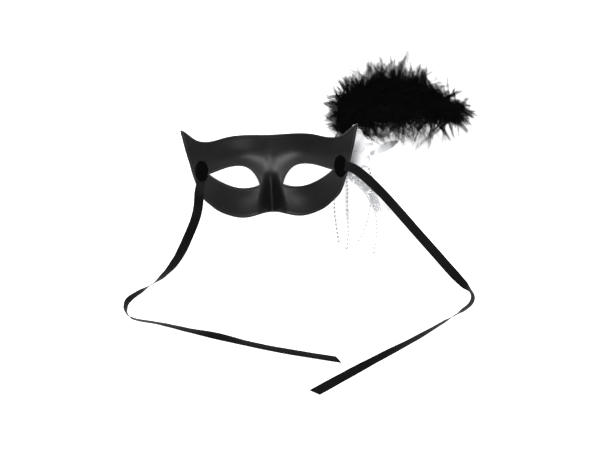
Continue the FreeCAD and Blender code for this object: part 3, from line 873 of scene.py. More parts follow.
def make_braid():
    """Silver gimp on the front: a tape, three crossing cords and a row of small loops."""
    lining = relief("lining")
    for number, loop in enumerate(rims()):
        side = "left" if sum(p.x for p in loop) < 0 else "right"
        node = f"eye_braid_{side}" if number else "edge_braid"
        ways = outward(loop, number == 0)
        band = (5.0 if number == 0 else 4.0) * MM
        bits = Bits()
        total = 0.6 * MM * len(loop)
        waves = round(total / (3.9 * MM))

        def beside(share, inward, below, loop=loop, ways=ways):
            at = (share % 1.0) * len(loop)
            i = int(at) % len(loop)
            j = (i + 1) % len(loop)
            point = loop[i].lerp(loop[j], at - int(at))
            way = ways[i].lerp(ways[j], at - int(at)).normalized()
            x, y = point.x - way.x * inward, point.y - way.y * inward
            return Vector((x, y, max(lining(x, y) - below, 0.02 * MM)))

        steps = waves * 6
        rows = [[beside(i / steps, band * across, COVER_BOTTOM + depth * MM)
                 for across, depth in ((0.12, 0.1), (0.15, 0.42), (0.5, 0.5), (0.88, 0.42),
                                       (0.9, 0.1))] for i in range(steps + 1)]
        add_grid(bits, rows)
        fine = waves * 10
        for cord in range(3):
            phase = 2 * math.pi * cord / 3
            line = []
            for i in range(fine):
                turn = 2 * math.pi * i * waves / fine + phase
                middle = 0.5 + 0.36 * math.sin(turn)
                depth = 0.72 + 0.2 * math.sin(2 * turn + phase)
                line.append(beside(i / fine, band * middle, COVER_BOTTOM + depth * MM))
            add_tube(bits, line, 0.3 * MM, 5, closed=True)
        # The loops of the heading show past the mask's edge.
        reach = (0.85 if number == 0 else 0.35) * MM
        line = []
        for i in range(fine * 2):
            turn = 2 * math.pi * i * waves / fine
            out = -reach * max(0.0, math.sin(turn)) + 0.6 * MM * (1 - abs(math.sin(turn)))
            swing = LOOP_SWING * math.sin(2 * turn)
            line.append(beside((i / (fine * 2)) + swing, out, COVER_BOTTOM + 0.5 * MM))
        add_tube(bits, line, 0.2 * MM, 4, closed=True)
        piece = bits.build("gimp_" + node, [finish("silver_braid")], cad_slot="braid")
        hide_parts(node)


def make_patches():
    """Felt ovals glued over the ribbons' ends, domed over the ribbon beneath."""
    lining = relief("lining")
    dice = random.Random(31)
    for side in ("right", "left"):
        low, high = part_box("patch_" + side)
        x0, y0 = (low[0] + high[0]) / 2, (low[1] + high[1]) / 2
        half = ((high[0] - low[0]) / 2, (high[1] - low[1]) / 2)
        bits = Bits()
        rings, around = 16, 72
        rows, uvs = [], []
        for i in range(rings + 1):
            share = i / rings
            row = []
            for k in range(around):
                angle = 2 * math.pi * k / around
                uneven = 1 + 0.02 * noise.noise(Vector((3 * math.cos(angle), 3 * math.sin(angle),
                                                        x0 * 50))) * share
                x = x0 + half[0] * share * uneven * math.cos(angle)
                y = y0 + half[1] * share * uneven * math.sin(angle)
                lump = 0.12 * MM * noise.noise(Vector((x, y, 0)) * 320)
                rise = (1.45 * MM + lump) * (1 - share ** 7) + 0.05 * MM
                row.append(Vector((x, y, lining(x, y) + rise)))
                uvs.append((x, y))
            rows.append(row)
        add_grid(bits, rows, uvs, closed_rows=True)
        # Loose fibres along the cut edge.
        fibres = Bits()
        for _ in range(420):
            angle = dice.uniform(0, 2 * math.pi)
            x = x0 + half[0] * math.cos(angle) * dice.uniform(0.93, 1.0)
            y = y0 + half[1] * math.sin(angle) * dice.uniform(0.93, 1.0)
            start = Vector((x, y, lining(x, y) + 0.3 * MM))
            way = Vector((math.cos(angle + dice.uniform(-1, 1)), math.sin(angle + dice.uniform(-1, 1)),
                          dice.uniform(0.0, 0.8))) * dice.uniform(0.4, 1.1) * MM
            add_tube(fibres, [start, start + way * 0.5, start + way + Vector((0, 0, 0.1 * MM))],
                     0.03 * MM, 3, caps=False)
        piece = bits.build("felt_patch_" + side, [finish("patch_felt")], cad_slot="felt")
        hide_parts("patch_" + side)
        fringe = fibres.build("felt_fibres_" + side, [finish("patch_felt")], cad_slot="felt")


def make_base():
    """The moulded shell and its velvet front keep the frame's own shapes."""
    dress("mask_shell", "shell_board")
    dress("front_cover", "front_velvet")


# ------------------------------------------------------------------ ribbons
# Centre lines in millimetres: off the mask's edge, down to the table, and along it.
RIBBON_ROUTES = {
    "right": [(82.6, 40.2, 49.2), (89.4, 36.6, 45.0), (97.6, 30.2, 34.0), (108.3, 20.6, 20.0),
              (123.4, 4.2, 6.6), (138.8, -14.2, 0.6), (154.8, -34.0, 0.4), (171.6, -54.2, 0.4),
              (187.6, -74.0, 1.4), (199.6, -87.4, 3.6), (207.4, -95.2, 5.0), (209.4, -102.0, 5.0),
              (205.6, -109.4, 3.8), (194.8, -116.4, 2.0), (176.6, -126.8, 0.6),
              (146.0, -143.4, 0.4), (107.4, -161.4, 0.4), (69.4, -180.2, 0.4),
              (37.4, -196.4, 0.4)],
    "left": [(-75.0, 19.4, 50.4), (-75.6, 11.0, 47.2), (-77.6, 1.0, 37.0), (-81.6, -10.2, 23.0),
             (-88.2, -23.2, 10.5), (-95.6, -37.8, 3.4), (-104.4, -52.6, 0.6),
             (-117.2, -66.4, 0.4), (-130.6, -76.0, 1.6), (-145.8, -84.2, 3.6),
             (-156.0, -90.6, 4.6), (-159.4, -97.6, 5.0), (-158.0, -105.6, 5.0),
             (-152.6, -110.6, 4.6), (-143.0, -113.2, 3.8), (-130.0, -115.4, 3.0),
             (-113.2, -119.6, 1.6), (-92.3, -125.6, 0.6), (-62.8, -132.6, 0.4),
             (-29.2, -142.4, 0.4), (12.9, -152.4, 0.4), (64.4, -162.2, 0.4)],
}
# Where each ribbon is glued down inside the mask, from its hidden end to the edge.
GLUED_LINES = {
    "right": [(67.5, 41.0), (72.0, 41.0), (77.0, 40.8)],
    "left": [(-71.6, 47.0), (-72.6, 40.0), (-73.4, 30.0)],
}
# How far the band has turned on its own line at places along it, in degrees from lying flat.
RIBBON_TURNS = {
    "right": [((172.5, -53.4), 0), ((187.7, -73.0), 6), ((199.2, -86.0), 36), ((207.2, -95.0), 76),
              ((207.8, -104.0), 70), ((198.6, -113.8), 74), ((190.4, -118.6), 90),
              ((176.3, -126.9), 108), ((146.0, -143.0), 124), ((106.0, -162.0), 142),
              ((72.0, -179.0), 160), ((46.0, -192.0), 170)],
    "left": [((-77.6, 1.0), 0), ((-84.0, -14.0), 4), ((-95.0, -37.0), 8), ((-104.4, -52.0), 30),
             ((-116.3, -65.5), 58), ((-129.5, -75.4), 88), ((-145.4, -84.0), 116),
             ((-155.5, -90.5), 124), ((-159.0, -98.0), 112), ((-157.4, -106.0), 92),
             ((-152.0, -111.0), 76), ((-132.0, -115.2), 74), ((-113.0, -119.6), 68),
             ((-95.9, -124.5), 60), ((-62.3, -132.6), 42), ((-29.0, -142.4), 54),
             ((20.0, -154.0), 52), ((60.0, -161.5), 52)],
}
RIBBON_END_SLANT = {"right": 0.75, "left": -0.7}


def ribbon_line(side):
    """The glued end and the free route as one smooth line."""
    lining = relief("lining")
    lift = sizes().ribbon_thickness / 2 + 0.06 * MM
    glued = [Vector((x * MM, y * MM, lining(x * MM, y * MM) + lift))
             for x, y in GLUED_LINES[side]]
    return nurbs_line(glued + millimetres(RIBBON_ROUTES[side]), 1.0 * MM)


def turn_keys(side, line, runs):
    """The turns with the distance along the line at which each is reached."""
    keys = []
    for (x, y), degrees in RIBBON_TURNS[side]:
        near = min(range(len(line)), key=lambda i: (line[i].x - x * MM) ** 2
                   + (line[i].y - y * MM) ** 2)
        keys.append((runs[near], math.radians(degrees)))
    return keys


def make_ribbons():
    """Two satin bands, each one strip that is glued inside the mask and falls to the table."""
    lining = relief("lining")
    width = sizes().ribbon_width
    half_thick = sizes().ribbon_thickness / 2
    shares = [-1.0, -0.94, -0.8, -0.55, -0.28, 0.0, 0.28, 0.55, 0.8, 0.94, 1.0]
    outline = rims()[0]
    for side in ("right", "left"):
        line = ribbon_line(side)
        runs = [0.0]
        for a, b in zip(line, line[1:]):
            runs.append(runs[-1] + (b - a).length)
        keys = turn_keys(side, line, runs)
        inside = winding(np.array([(p.x, p.y) for p in line]), outline)
        leaves = max(runs[i] for i in range(len(line)) if inside[i])
        centres, rows_top, rows_low, uvs = [], [], [], []
        for i, point in enumerate(line):
            along = (line[min(i + 1, len(line) - 1)] - line[max(i - 1, 0)]).normalized()
            free = ease((runs[i] - leaves + 6 * MM) / (14 * MM))
            rest = lining.normal(point.x, point.y).lerp(Vector((0, 0, 1)), free)
            aside = rest.cross(along).normalized()
            above = along.cross(aside).normalized()
            turn = blend_keys(keys, runs[i])
            across = aside * math.cos(turn) + above * math.sin(turn)
            face = above * math.cos(turn) - aside * math.sin(turn)
            lowest = abs(across.z) * width / 2 + abs(face.z) * half_thick + 0.12 * MM
            centre = point.copy()
            centre.z = max(centre.z, lowest)
            centres.append(centre)
            end_share = (runs[-1] - runs[i]) / width
            ripple = 0.16 * MM * noise.noise(Vector((runs[i] * 45, 0.0, 3.0)))
            top, low_row = [], []
            for share in shares:
                slant = RIBBON_END_SLANT[side] * share * width / 2 * max(0.0, 1 - end_share)
                cup = 0.18 * MM * share * share
                hem = 1.35 if abs(share) > 0.9 else 1.0
                body = centre + across * (share * width / 2) + along * slant
                body += face * (cup + ripple * share)
                top.append(body + face * half_thick * hem)
                low_row.append(body - face * half_thick * hem)
            rows_top.append(top)
            rows_low.append(low_row)
            uvs += [(share * width / 2, runs[i]) for share in shares]
        for top, low_row in zip(rows_top, rows_low):
            for point in top + low_row:
                point.z = max(point.z, 0.02 * MM)
        bits = Bits()
        ring_rows = [top + list(reversed(low_row)) for top, low_row in zip(rows_top, rows_low)]
        ring_uvs = []
        for i in range(len(line)):
            flat = uvs[i * len(shares):(i + 1) * len(shares)]
            ring_uvs += flat + list(reversed(flat))
        add_grid(bits, ring_rows, ring_uvs, closed_rows=True)
        around = 2 * len(shares)
        last = (len(ring_rows) - 1) * around
        bits.faces.append(tuple(reversed(range(around))))
        bits.faces.append(tuple(range(last, last + around)))
        bits.slots += [0, 0]
        piece = bits.build("satin_ribbon_" + side, [finish("ribbon_satin")], cad_slot="ribbon")
        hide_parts("ribbon_" + side, "ribbon_tab_" + side)


# ------------------------------------------------------------------ the flower
FLOWER_LEAN = math.radians(17.5)


def flower_place():
    """From the flower's own frame, where +Z faces away from the wearer, to the mask's."""
    low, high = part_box("petals_outer")
    centre = (Vector(low) + Vector(high)) / 2
    turn = Matrix.Rotation(math.pi - FLOWER_LEAN, 4, "Y")
    return Matrix.Translation(centre) @ turn


def add_petal(bits, place, turn, reach, width, lift, cup, ruffle, dice):
    """One cupped petal with a ruffled rim, from the flower's middle out."""
    along_count, across_count = 22, 18
    spin = Matrix.Rotation(turn, 4, "Z")
    phase = dice.uniform(0, 6.28)
    waves = dice.uniform(1.6, 2.6)
    rows, uvs = [], []
    for i in range(along_count + 1):
        v = i / along_count
        half = width / 2 * math.sin(math.pi * min(0.97, 0.10 + 0.80 * v ** 0.85)) ** 0.72
        row = []
        for k in range(across_count + 1):
            u = -1 + 2 * k / across_count
            rounding = 1 - 0.16 * u * u * v
            x = reach * v * rounding
            y = half * u
            z = lift + cup * v * v * (1 - 0.5 * u * u)
            z += ruffle * v * v * math.sin(waves * math.pi * u + phase) * (0.35 + 0.65 * abs(u))
            z += 0.25 * MM * math.sin(9 * u + 2 * phase) * v
            row.append(place @ spin @ Vector((x, y, z)))
            uvs.append((y, x))
        rows.append(row)
    add_grid(bits, rows, uvs)


def petal_sheet(node):
    """Hides the CAD node of one ring of petals, which are cut side by side from a strip of cloth."""
    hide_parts(node)


def make_petals():
    """Satin petals behind, organza petals in front of them, and a rolled heart."""
    place = flower_place()
    dice = random.Random(7)
    outer, outer_reaches = Bits(), []
    for i in range(7):
        outer_reaches.append(dice.uniform(25.0, 27.0) * MM)
        add_petal(outer, place, 2 * math.pi * i / 7 + 0.22, outer_reaches[-1],
                  25 * MM, dice.uniform(-0.8, 0.3) * MM, -1.8 * MM, 2.1 * MM, dice)
    piece = outer.build("satin_petals", [finish("petal_satin")], cad_slot="petal_satin")
    solidify(piece, 0.22 * MM, 0.0)
    petal_sheet("petals_outer")

    inner, inner_reaches = Bits(), []
    for i in range(9):
        inner_reaches.append(dice.uniform(17.0, 21.5) * MM)
        add_petal(inner, place, 2 * math.pi * i / 9 + 0.5, inner_reaches[-1],
                  19 * MM, dice.uniform(1.2, 2.4) * MM, 2.6 * MM, 1.9 * MM, dice)
    piece = inner.build("organza_petals", [finish("petal_organza")], cad_slot="petal_organza")
    solidify(piece, 0.16 * MM, 0.0)
    petal_sheet("petals_inner")

    heart, heart_reaches = Bits(), []
    for ring, (count, reach, rise) in enumerate(((6, 9.0, 3.2), (5, 7.0, 4.2), (4, 5.0, 4.8))):
        for i in range(count):
            heart_reaches.append(reach * MM)
            add_petal(heart, place, 2 * math.pi * i / count + ring * 0.7, reach * MM, 9 * MM,
                      (2.4 + 0.5 * ring) * MM, rise * 0.6 * MM, 0.7 * MM, dice)
    piece = heart.build("rolled_heart", [finish("petal_satin")], cad_slot="petal_satin")
    solidify(piece, 0.2 * MM, 0.0)
    petal_sheet("flower_heart")


def make_gem():
    """A cut stone in a claw ring."""
    place = flower_place()
    low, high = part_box("flower_gem")
    radius = max(high[0] - low[0], high[1] - low[1]) / 2
    base = 5.6 * MM
    bits = Bits()
    rows = []
    for share, height, twist, sides in ((1.0, 0.0, 0.0, 8), (0.98, 0.28, 0.0, 8),
                                        (0.74, 0.62, 0.5, 8), (0.42, 0.86, 0.0, 8)):
        rows.append([place @ Vector((radius * share * math.cos(2 * math.pi * (k + twist) / sides),
                                     radius * share * math.sin(2 * math.pi * (k + twist) / sides),
                                     base + radius * height)) for k in range(sides)])
    add_grid(bits, rows, closed_rows=True)
    bits.faces.append(tuple(24 + k for k in range(8)))
    bits.faces.append(tuple(reversed(range(8))))
    bits.slots += [0, 0]
    stone = bits.build("cut_stone", [finish("gem_glass")], cad_slot="gem", smooth=False)
    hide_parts("flower_gem")
    setting = Bits()
    ring = [place @ Vector((radius * 1.03 * math.cos(2 * math.pi * i / 48),
                            radius * 1.03 * math.sin(2 * math.pi * i / 48), base))
            for i in range(48)]
    add_tube(setting, ring, 0.45 * MM, 8, closed=True)
    for k in range(8):
        angle = 2 * math.pi * k / 8
        claw = [place @ Vector((radius * r * math.cos(angle), radius * r * math.sin(angle),
                                base + radius * h))
                for r, h in ((1.06, 0.0), (1.04, 0.2), (0.93, 0.42))]
        add_tube(setting, claw, 0.3 * MM, 6)
    setting.build("claw_setting", [finish("bead_metal")], cad_slot="braid")


def make_flower_pad():
    """The felt pad between the petals and the mask's front, cut to the front's slope."""
    place = flower_place()
    lining = relief("lining")
    up = (place.to_3x3() @ Vector((0, 0, -1))).normalized()
    bits = Bits()
    rings, around = 14, 48
    columns = []
    for k in range(around):
        angle = 2 * math.pi * k / around
        foot = place @ Vector((15 * MM + 7.6 * MM * math.cos(angle), 7.6 * MM * math.sin(angle), 0))
        reach = 0.0
        while reach < 40 * MM:
            point = foot + up * reach
            if point.z > lining(point.x, point.y) - COVER_BOTTOM - 0.1 * MM:
                break
            reach += 0.25 * MM
        columns.append((foot, reach, angle))
    centre = place @ Vector((15 * MM, 0, 0))
    rows = []
    for i in range(rings + 1):
        share = i / rings
        row = []
        for foot, reach, angle in columns:
            point = foot + up * (reach * share)
            axis = centre + up * (reach * share)
            waist = 1 - 0.07 * math.sin(math.pi * share)
            rough = 1 + 0.03 * noise.noise(point * 260)
            row.append(axis + (point - axis) * waist * rough)
        rows.append(row)
    add_grid(bits, rows, closed_rows=True)
    bits.faces.append(tuple(reversed(range(around))))
    bits.faces.append(tuple(range(rings * around, (rings + 1) * around)))
    bits.slots += [0, 0]
    pad = bits.build("felt_pad", [finish("pad_felt")], cad_slot="felt")
    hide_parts("flower_pad")


# ------------------------------------------------------------------ the feather
def quill_ends():
    """The two ends of the quill, from its CAD box."""
    low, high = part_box("feather_quill")
    return Vector((low[0], low[1], high[2])), Vector((high[0], high[1], low[2]))


# Seen from above: the plume's spine, the edge of its dense middle and the edge of its fluff.
PLUME_SPINE = [(80, 76), (84, 92), (100, 108), (128, 114), (158, 110), (186, 100), (203, 92)]
DENSE_EDGE = [(88, 74), (72, 76), (58, 82), (58, 96), (64, 110), (74, 126), (88, 137), (104, 144),
              (124, 147), (144, 145), (160, 138), (172, 126), (182, 113), (192, 102), (186, 97),
              (172, 93), (156, 86), (142, 74), (124, 67), (104, 70)]
FLUFF_EDGE = [(84, 74), (66, 78), (54, 85), (50, 98), (56, 113), (66, 132), (82, 147), (100, 158),
              (120, 166), (142, 169), (162, 160), (182, 150), (200, 132), (214, 112), (222, 94),
              (218, 82), (200, 68), (180, 60), (160, 56), (140, 55), (124, 60), (106, 66)]
PLUME_MIDDLE = 21.0                 # height of the spine above the table


def reach_within(x, y, angle, edge):
    """How far it is from a point to a closed outline, in millimetres, along a level direction."""
    dx, dy = math.cos(angle), math.sin(angle)
    farthest = 0.0
    for (ax, ay), (bx, by) in zip(edge, edge[1:] + edge[:1]):
        ex, ey = bx - ax, by - ay
        cross = dx * ey - dy * ex
        if abs(cross) < 1e-9:
            continue
        along = ((ax - x) * ey - (ay - y) * ex) / cross
        share = ((ax - x) * dy - (ay - y) * dx) / cross
        if 0 <= share <= 1 and along > 0:
            farthest = max(farthest, along)
    return farthest


def add_barb(bits, start, way, aim, length, dice, shade, half_width):
    """A fine strand that leaves the spine, bends towards its aim and wavers."""
    steps = 7
    swirl = dice.uniform(0.0, 6.28)
    side = way.cross(Vector((0, 0, 1)))
    side = (side + Vector((0, 0, dice.uniform(-0.8, 0.8)))).normalized()
    other = way.cross(side).normalized()
    wobble = dice.uniform(0.01, 0.045) * length
    verts, uvs = [], []
    for i in range(steps + 1):
        v = i / steps
        place = start + way * (length * v * (1 - 0.5 * v)) + aim * (length * 0.5 * v * v)
        place = place + side * (wobble * v * math.sin(9 * v + swirl))
        place = place + other * (wobble * v * math.cos(8 * v + swirl))
        place.z = min(max(place.z, 0.4 * MM), 52 * MM)
        half = half_width * (1 - 0.72 * v)
        verts += [place + side * half, place - side * half]
        uvs += [(shade, v), (shade, v)]
    bits.add(verts, [(2 * i, 2 * i + 1, 2 * i + 3, 2 * i + 2) for i in range(steps)], uvs)


def spine_point(spine, share):
    """The point at a share of the way along the spine."""
    at = min(max(share, 0.0), 0.9999) * (len(spine) - 1)
    i = int(at)
    return spine[i].lerp(spine[i + 1], at - i)


def add_tuft(bits, spine, dice, barbs, fluff):
    """Strands that start close together and run to one point, as damp down does."""
    share = dice.uniform(0.0, 1.0)
    start = spine_point(spine, share) + Vector((dice.gauss(0, 5), dice.gauss(0, 5),
                                                dice.gauss(0, 3.5))) * MM
    angle = dice.uniform(0, 2 * math.pi)
    # Down leans from the quill towards the plume's tip.
    lean = math.atan2(-0.30, 1.0) if share > 0.35 else math.radians(120)
    angle += 0.30 * math.sin(lean - angle)
    dense = reach_within(start.x / MM, start.y / MM, angle, DENSE_EDGE)
    loose = reach_within(start.x / MM, start.y / MM, angle, FLUFF_EDGE)
    if fluff:
        reach = dense + (loose - dense) * dice.uniform(0.1, 1.15)
    else:
        reach = dense * dice.uniform(0.45, 1.02)
    reach = min(max(reach, 6.0), 62.0)
    rise = dice.uniform(-0.42, 0.42) * min(1.0, 30.0 / reach)
    aim_angle = angle + dice.uniform(-0.35, 0.35)
    loose_ends = 0.014 if fluff else 0.16
    width = 0.55 if fluff else 1.6
    for _ in range(barbs):
        spread = dice.gauss(0, loose_ends)
        begin = start + Vector((dice.gauss(0, width), dice.gauss(0, width),
                                dice.gauss(0, width))) * MM
        way = Vector((math.cos(angle + spread), math.sin(angle + spread),
                      rise + dice.gauss(0, 0.10))).normalized()
        tip = aim_angle + spread * 0.35
        aim = Vector((math.cos(tip), math.sin(tip), rise * 0.6 + dice.gauss(0, 0.05))).normalized()
        shortest = 0.86 if fluff else 0.72
        add_barb(bits, begin, way, aim, reach * dice.uniform(shortest, 1.03) * MM, dice,
                 dice.random(), dice.uniform(0.08, 0.14) * MM)


def make_feather():
    """A plume of down: a curved spine with thousands of fine strands, gathered in tufts."""
    dice = random.Random(19)
    spine = nurbs_line([Vector((x, y, PLUME_MIDDLE)) * MM for x, y in PLUME_SPINE], 1.5 * MM)
    tufts = sizes().tuft_count
    for number in (1, 2, 3):
        down = Bits()
        for tuft in range(tufts):
            wisp = tuft % 6 == 0
            add_tuft(down, spine, dice, 19 if wisp else 10, wisp)
        piece = down.build(f"down_{number}", [finish("feather_down")], cad_slot="feather")
        if number == 1:
            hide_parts("feather_plume")
    shafts = Bits()
    for aside in (-1.5, 0.0, 1.5):
        line = [p + Vector((aside * 0.4, aside, aside * 0.5)) * MM for p in spine]
        last = len(line) - 1
        add_tube(shafts, line, lambda i, last=last: (0.42 - 0.30 * i / last) * MM, 6)
    shafts.build("plume_shafts", [finish("quill_horn")], cad_slot="quill")


def make_quill():
    """The bundled quills and the thread that ties them."""
    foot, top = quill_ends()
    way = (top - foot).normalized()
    side = way.orthogonal().normalized()
    across = way.cross(side)
    bits = Bits()
    for k in range(3):
        angle = 2 * math.pi * k / 3
        aside = (side * math.cos(angle) + across * math.sin(angle)) * 0.5 * MM
        count = 24
        line = [foot.lerp(top, i / count) + aside for i in range(count + 1)]
        add_tube(bits, line, lambda i: (0.52 - 0.1 * i / 24) * MM, 10)
    quill = bits.build("quill_bundle", [finish("quill_horn")], cad_slot="quill")
    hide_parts("feather_quill")
    low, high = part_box("feather_binding")
    middle = (Vector(low) + Vector(high)) / 2
    wrap = Bits()
    turns, fine = 16, 22
    for layer, radius in ((0, 1.25), (1, 1.6)):
        line = []
        for i in range(turns * fine + 1):
            share = i / (turns * fine)
            angle = 2 * math.pi * turns * share + layer
            wobble = 0.06 * math.sin(5.3 * angle)
            line.append(middle + way * ((share - 0.5) * 7.6 * MM * (1 - 2 * layer))
                        + (side * math.cos(angle) + across * math.sin(angle))
                        * ((radius + wobble) * MM))
        add_tube(wrap, line, 0.25 * MM, 5)
    binding = wrap.build("quill_binding", [finish("wrap_thread")], cad_slot="binding")
    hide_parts("feather_binding")


# ------------------------------------------------------------------ lace, organza leaf and tail
LACE_LINE = [(80.6, 33.5), (87.0, 28.6), (94.0, 24.4), (101.9, 16.0), (107.8, 5.2), (111.8, -8.0)]
LACE_WIDTHS = [5.0, 8.0, 9.0, 9.5, 9.0, 6.0]
TAIL_LINE = [(91.5, 40.0), (96.8, 28.0), (102.0, 17.0), (108.6, 6.2), (116.6, -3.4),
             (126.6, -17.4), (136.6, -33.6)]
TAIL_WIDTHS = [7.0, 8.0, 9.0, 9.0, 9.5, 9.5, 10.0]
LEAF_LINE = [(104.5, 52.6), (111.6, 55.6), (118.0, 58.6), (125.5, 62.2), (134.6, 66.4)]
LEAF_WIDTHS = [4.0, 6.5, 9.0, 8.0, 2.5]


class Strip:
    """A strip of cloth along a plan line, whose height follows its CAD node."""

    def __init__(self, node, line, widths, lift=0.0):
        self.relief = relief(node)
        self.line = nurbs_line([Vector((x, y, 0)) * MM for x, y in line], 0.5 * MM)
        self.widths = widths
        self.lift = lift
        self.length = 0.5 * MM * (len(self.line) - 1)

    def at(self, v, u, out=0.0, above=0.0):
        """The point at v of 0 to 1 along and u of -1 to 1 across."""
        at = min(max(v, 0.0), 1.0) * (len(self.line) - 1)
        i = min(int(at), len(self.line) - 2)
        a, b = self.line[i], self.line[i + 1]
        point = a.lerp(b, at - i)
        way = (b - a).normalized()
        aside = Vector((-way.y, way.x, 0))
        spot = min(max(v, 0.0), 1.0) * (len(self.widths) - 1)
        j = min(int(spot), len(self.widths) - 2)
        half = (self.widths[j] + (self.widths[j + 1] - self.widths[j]) * (spot - j)) * MM / 2
        point = point + aside * (half * u + math.copysign(out, u))
        z = self.relief(point.x, point.y) + self.lift + above
        return Vector((point.x, point.y, max(z, 0.05 * MM)))


STRIP_LANES = 12


def strip_sheet(strip, name, material, cad_slot, node, ruffle, notch=0.0, steps=90):
    """The cloth of a strip, with a crinkle and, if asked, a V cut from its end."""
    rows, uvs = [], []
    for i in range(steps + 1):
        v = i / steps
        row = []
        for k in range(STRIP_LANES + 1):
            u = -1 + 2 * k / STRIP_LANES
            reach = v * (1 - notch * (1 - abs(u)) * v ** 6)
            crinkle = ruffle * noise.noise(Vector((u * 2.2, v * 9.0, len(name))))
            point = strip.at(reach, u, above=crinkle)
            row.append(point)
            uvs.append((u * strip.widths[0] * MM / 2, v * strip.length))
        rows.append(row)
    bits = Bits()
    add_grid(bits, rows, uvs)
    piece = bits.build(name, [finish(material)], cad_slot=cad_slot)
    solidify(piece, 0.14 * MM, 0.0)
    for vertex in piece.data.vertices:
        vertex.co.z = max(vertex.co.z, 0.02 * MM)
    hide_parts(node)
    return piece


def make_lace():
    """A band of net with scalloped, beaded edges, sequins and a fringe of fine threads."""
    strip = Strip("lace_leaf", LACE_LINE, LACE_WIDTHS, lift=0.1 * MM)
    cloth = strip_sheet(strip, "lace_ground", "organza_sheer", "lace", "lace_leaf", 0.3 * MM)
    dice = random.Random(5)
    net = Bits()
    for lane in range(-5, 6):
        line = [strip.at(i / 150, 0.18 * lane + 0.09 * math.sin(i * 0.85 + lane * math.pi),
                         above=0.28 * MM) for i in range(151)]
        add_tube(net, line, 0.1 * MM, 4)
    for edge in (-1, 1):
        line = [strip.at(i / 320, edge, out=0.55 * MM * abs(math.sin(i * 0.30)), above=0.3 * MM)
                for i in range(321)]
        add_tube(net, line, 0.2 * MM, 5)
    threads = net.build("lace_net", [finish("lace_thread")], cad_slot="lace")
    trims = Bits()
    for edge in (-1, 1):
        count = int(strip.length / (1.55 * MM))
        for i in range(count + 1):
            add_ball(trims, strip.at(i / count, edge, out=0.5 * MM, above=0.55 * MM), 0.55 * MM,
                     rings=7, sides=10)
    for row in (-0.55, 0.0, 0.55):
        count = int(strip.length / (2.7 * MM))
        for i in range(count):
            v = (i + 0.5 + 0.25 * row) / count + dice.uniform(-0.004, 0.004)
            centre = strip.at(v, row, above=0.6 * MM)
            tilt = Vector((dice.uniform(-0.4, 0.4), dice.uniform(-0.4, 0.4), 1)).normalized()
            side = tilt.orthogonal().normalized()
            over = tilt.cross(side)
            rows = [[centre + (side * math.cos(2 * math.pi * k / 12)
                               + over * math.sin(2 * math.pi * k / 12)) * (reach * MM)
                     + tilt * (rise * MM) for k in range(12)]
                    for reach, rise in ((0.25, 0.0), (0.7, 0.02), (1.2, 0.24), (1.2, 0.3),
                                        (0.7, 0.1), (0.25, 0.08))]
            add_grid(trims, rows + rows[:1], closed_rows=True, slot=1)
    shine = trims.build("lace_trims", [finish("bead_metal"), finish("sequin_foil")],
                        cad_slot="lace")
    fringe = Bits()
    for i in range(15):
        x = 76.2 + 0.52 * i + dice.uniform(-0.15, 0.15)
        low = -17.0 + dice.uniform(-4, 5)
        sway = dice.uniform(-1.2, 1.2)
        route = [Vector((x + 1.5, 33.0, 12.0)), Vector((x + 0.7, 24.0, 7.5)),
                 Vector((x, 12.0, 3.2)), Vector((x + sway * 0.5, 0.0, 1.2)),
                 Vector((x + sway, low, 0.5))]
        add_tube(fringe, nurbs_line([p * MM for p in route], 1.2 * MM), 0.13 * MM, 5)
    tassel = fringe.build("lace_fringe", [finish("lace_thread")], cad_slot="lace")


def make_organza():
    """The sheer tail with its V cut, and the small sheer leaf."""
    tail = Strip("organza_tail", TAIL_LINE, TAIL_WIDTHS)
    cloth = strip_sheet(tail, "organza_tail_cloth", "organza_sheer", "organza", "organza_tail",
                        0.5 * MM, notch=0.055)
    hems = Bits()
    for edge in (-1, 1):
        line = [tail.at(i / 160, edge * 0.985, above=0.12 * MM) for i in range(161)]
        add_tube(hems, line, 0.16 * MM, 5)
    trim = hems.build("organza_tail_hem", [finish("lace_thread")], cad_slot="organza")
    leaf = Strip("organza_leaf", LEAF_LINE, LEAF_WIDTHS)
    petal = strip_sheet(leaf, "organza_leaf_cloth", "petal_organza", "organza", "organza_leaf",
                        0.5 * MM, steps=50)
    veins = Bits()
    for lane in (-0.6, -0.3, 0.0, 0.3, 0.6):
        line = [leaf.at(i / 60, lane * (1 - 0.3 * i / 60), above=0.2 * MM) for i in range(61)]
        add_tube(veins, line, 0.09 * MM, 4)
    ribs = veins.build("organza_leaf_veins", [finish("lace_thread")], cad_slot="organza")


# ------------------------------------------------------------------ bead strands
LIE = 2.4
# Threads in millimetres, from where each is sewn on to its end.
STRAND_ROUTES = [
    [(72.0, 38.0, 15.5), (69.0, 26.0, 10.5), (66.6, 14.0, 5.4), (65.5, 2.0, LIE),
     (65.8, -10.0, LIE), (67.2, -21.6, LIE), (68.0, -31.0, LIE), (69.4, -39.6, LIE)],
    [(78.6, 35.0, 16.5), (79.8, 25.0, 11.4), (79.9, 14.0, 6.0), (79.3, 2.4, LIE),
     (79.1, -9.8, LIE), (79.7, -22.4, LIE), (79.4, -35.0, LIE), (76.4, -46.8, LIE)],
    [(83.2, 33.6, 14.6), (87.4, 27.6, 10.2), (95.0, 23.2, 5.8), (101.2, 15.4, LIE + 0.5),
     (104.0, 6.0, LIE + 0.5), (103.4, -3.6, LIE + 0.2), (100.9, -13.6, LIE), (98.0, -23.4, LIE),
     (94.4, -31.2, LIE), (88.8, -38.4, LIE)],
    [(96.0, 55.0, 20.4), (98.6, 47.8, 17.4), (102.6, 40.2, 15.6), (105.8, 31.0, 13.6),
     (107.0, 20.0, 11.8), (107.3, 8.0, 9.9), (108.4, -4.0, 8.4), (109.4, -14.4, 6.6),
     (109.8, -24.6, LIE + 0.3), (108.9, -35.0, LIE), (107.4, -44.0, LIE), (105.5, -52.4, LIE)],
]
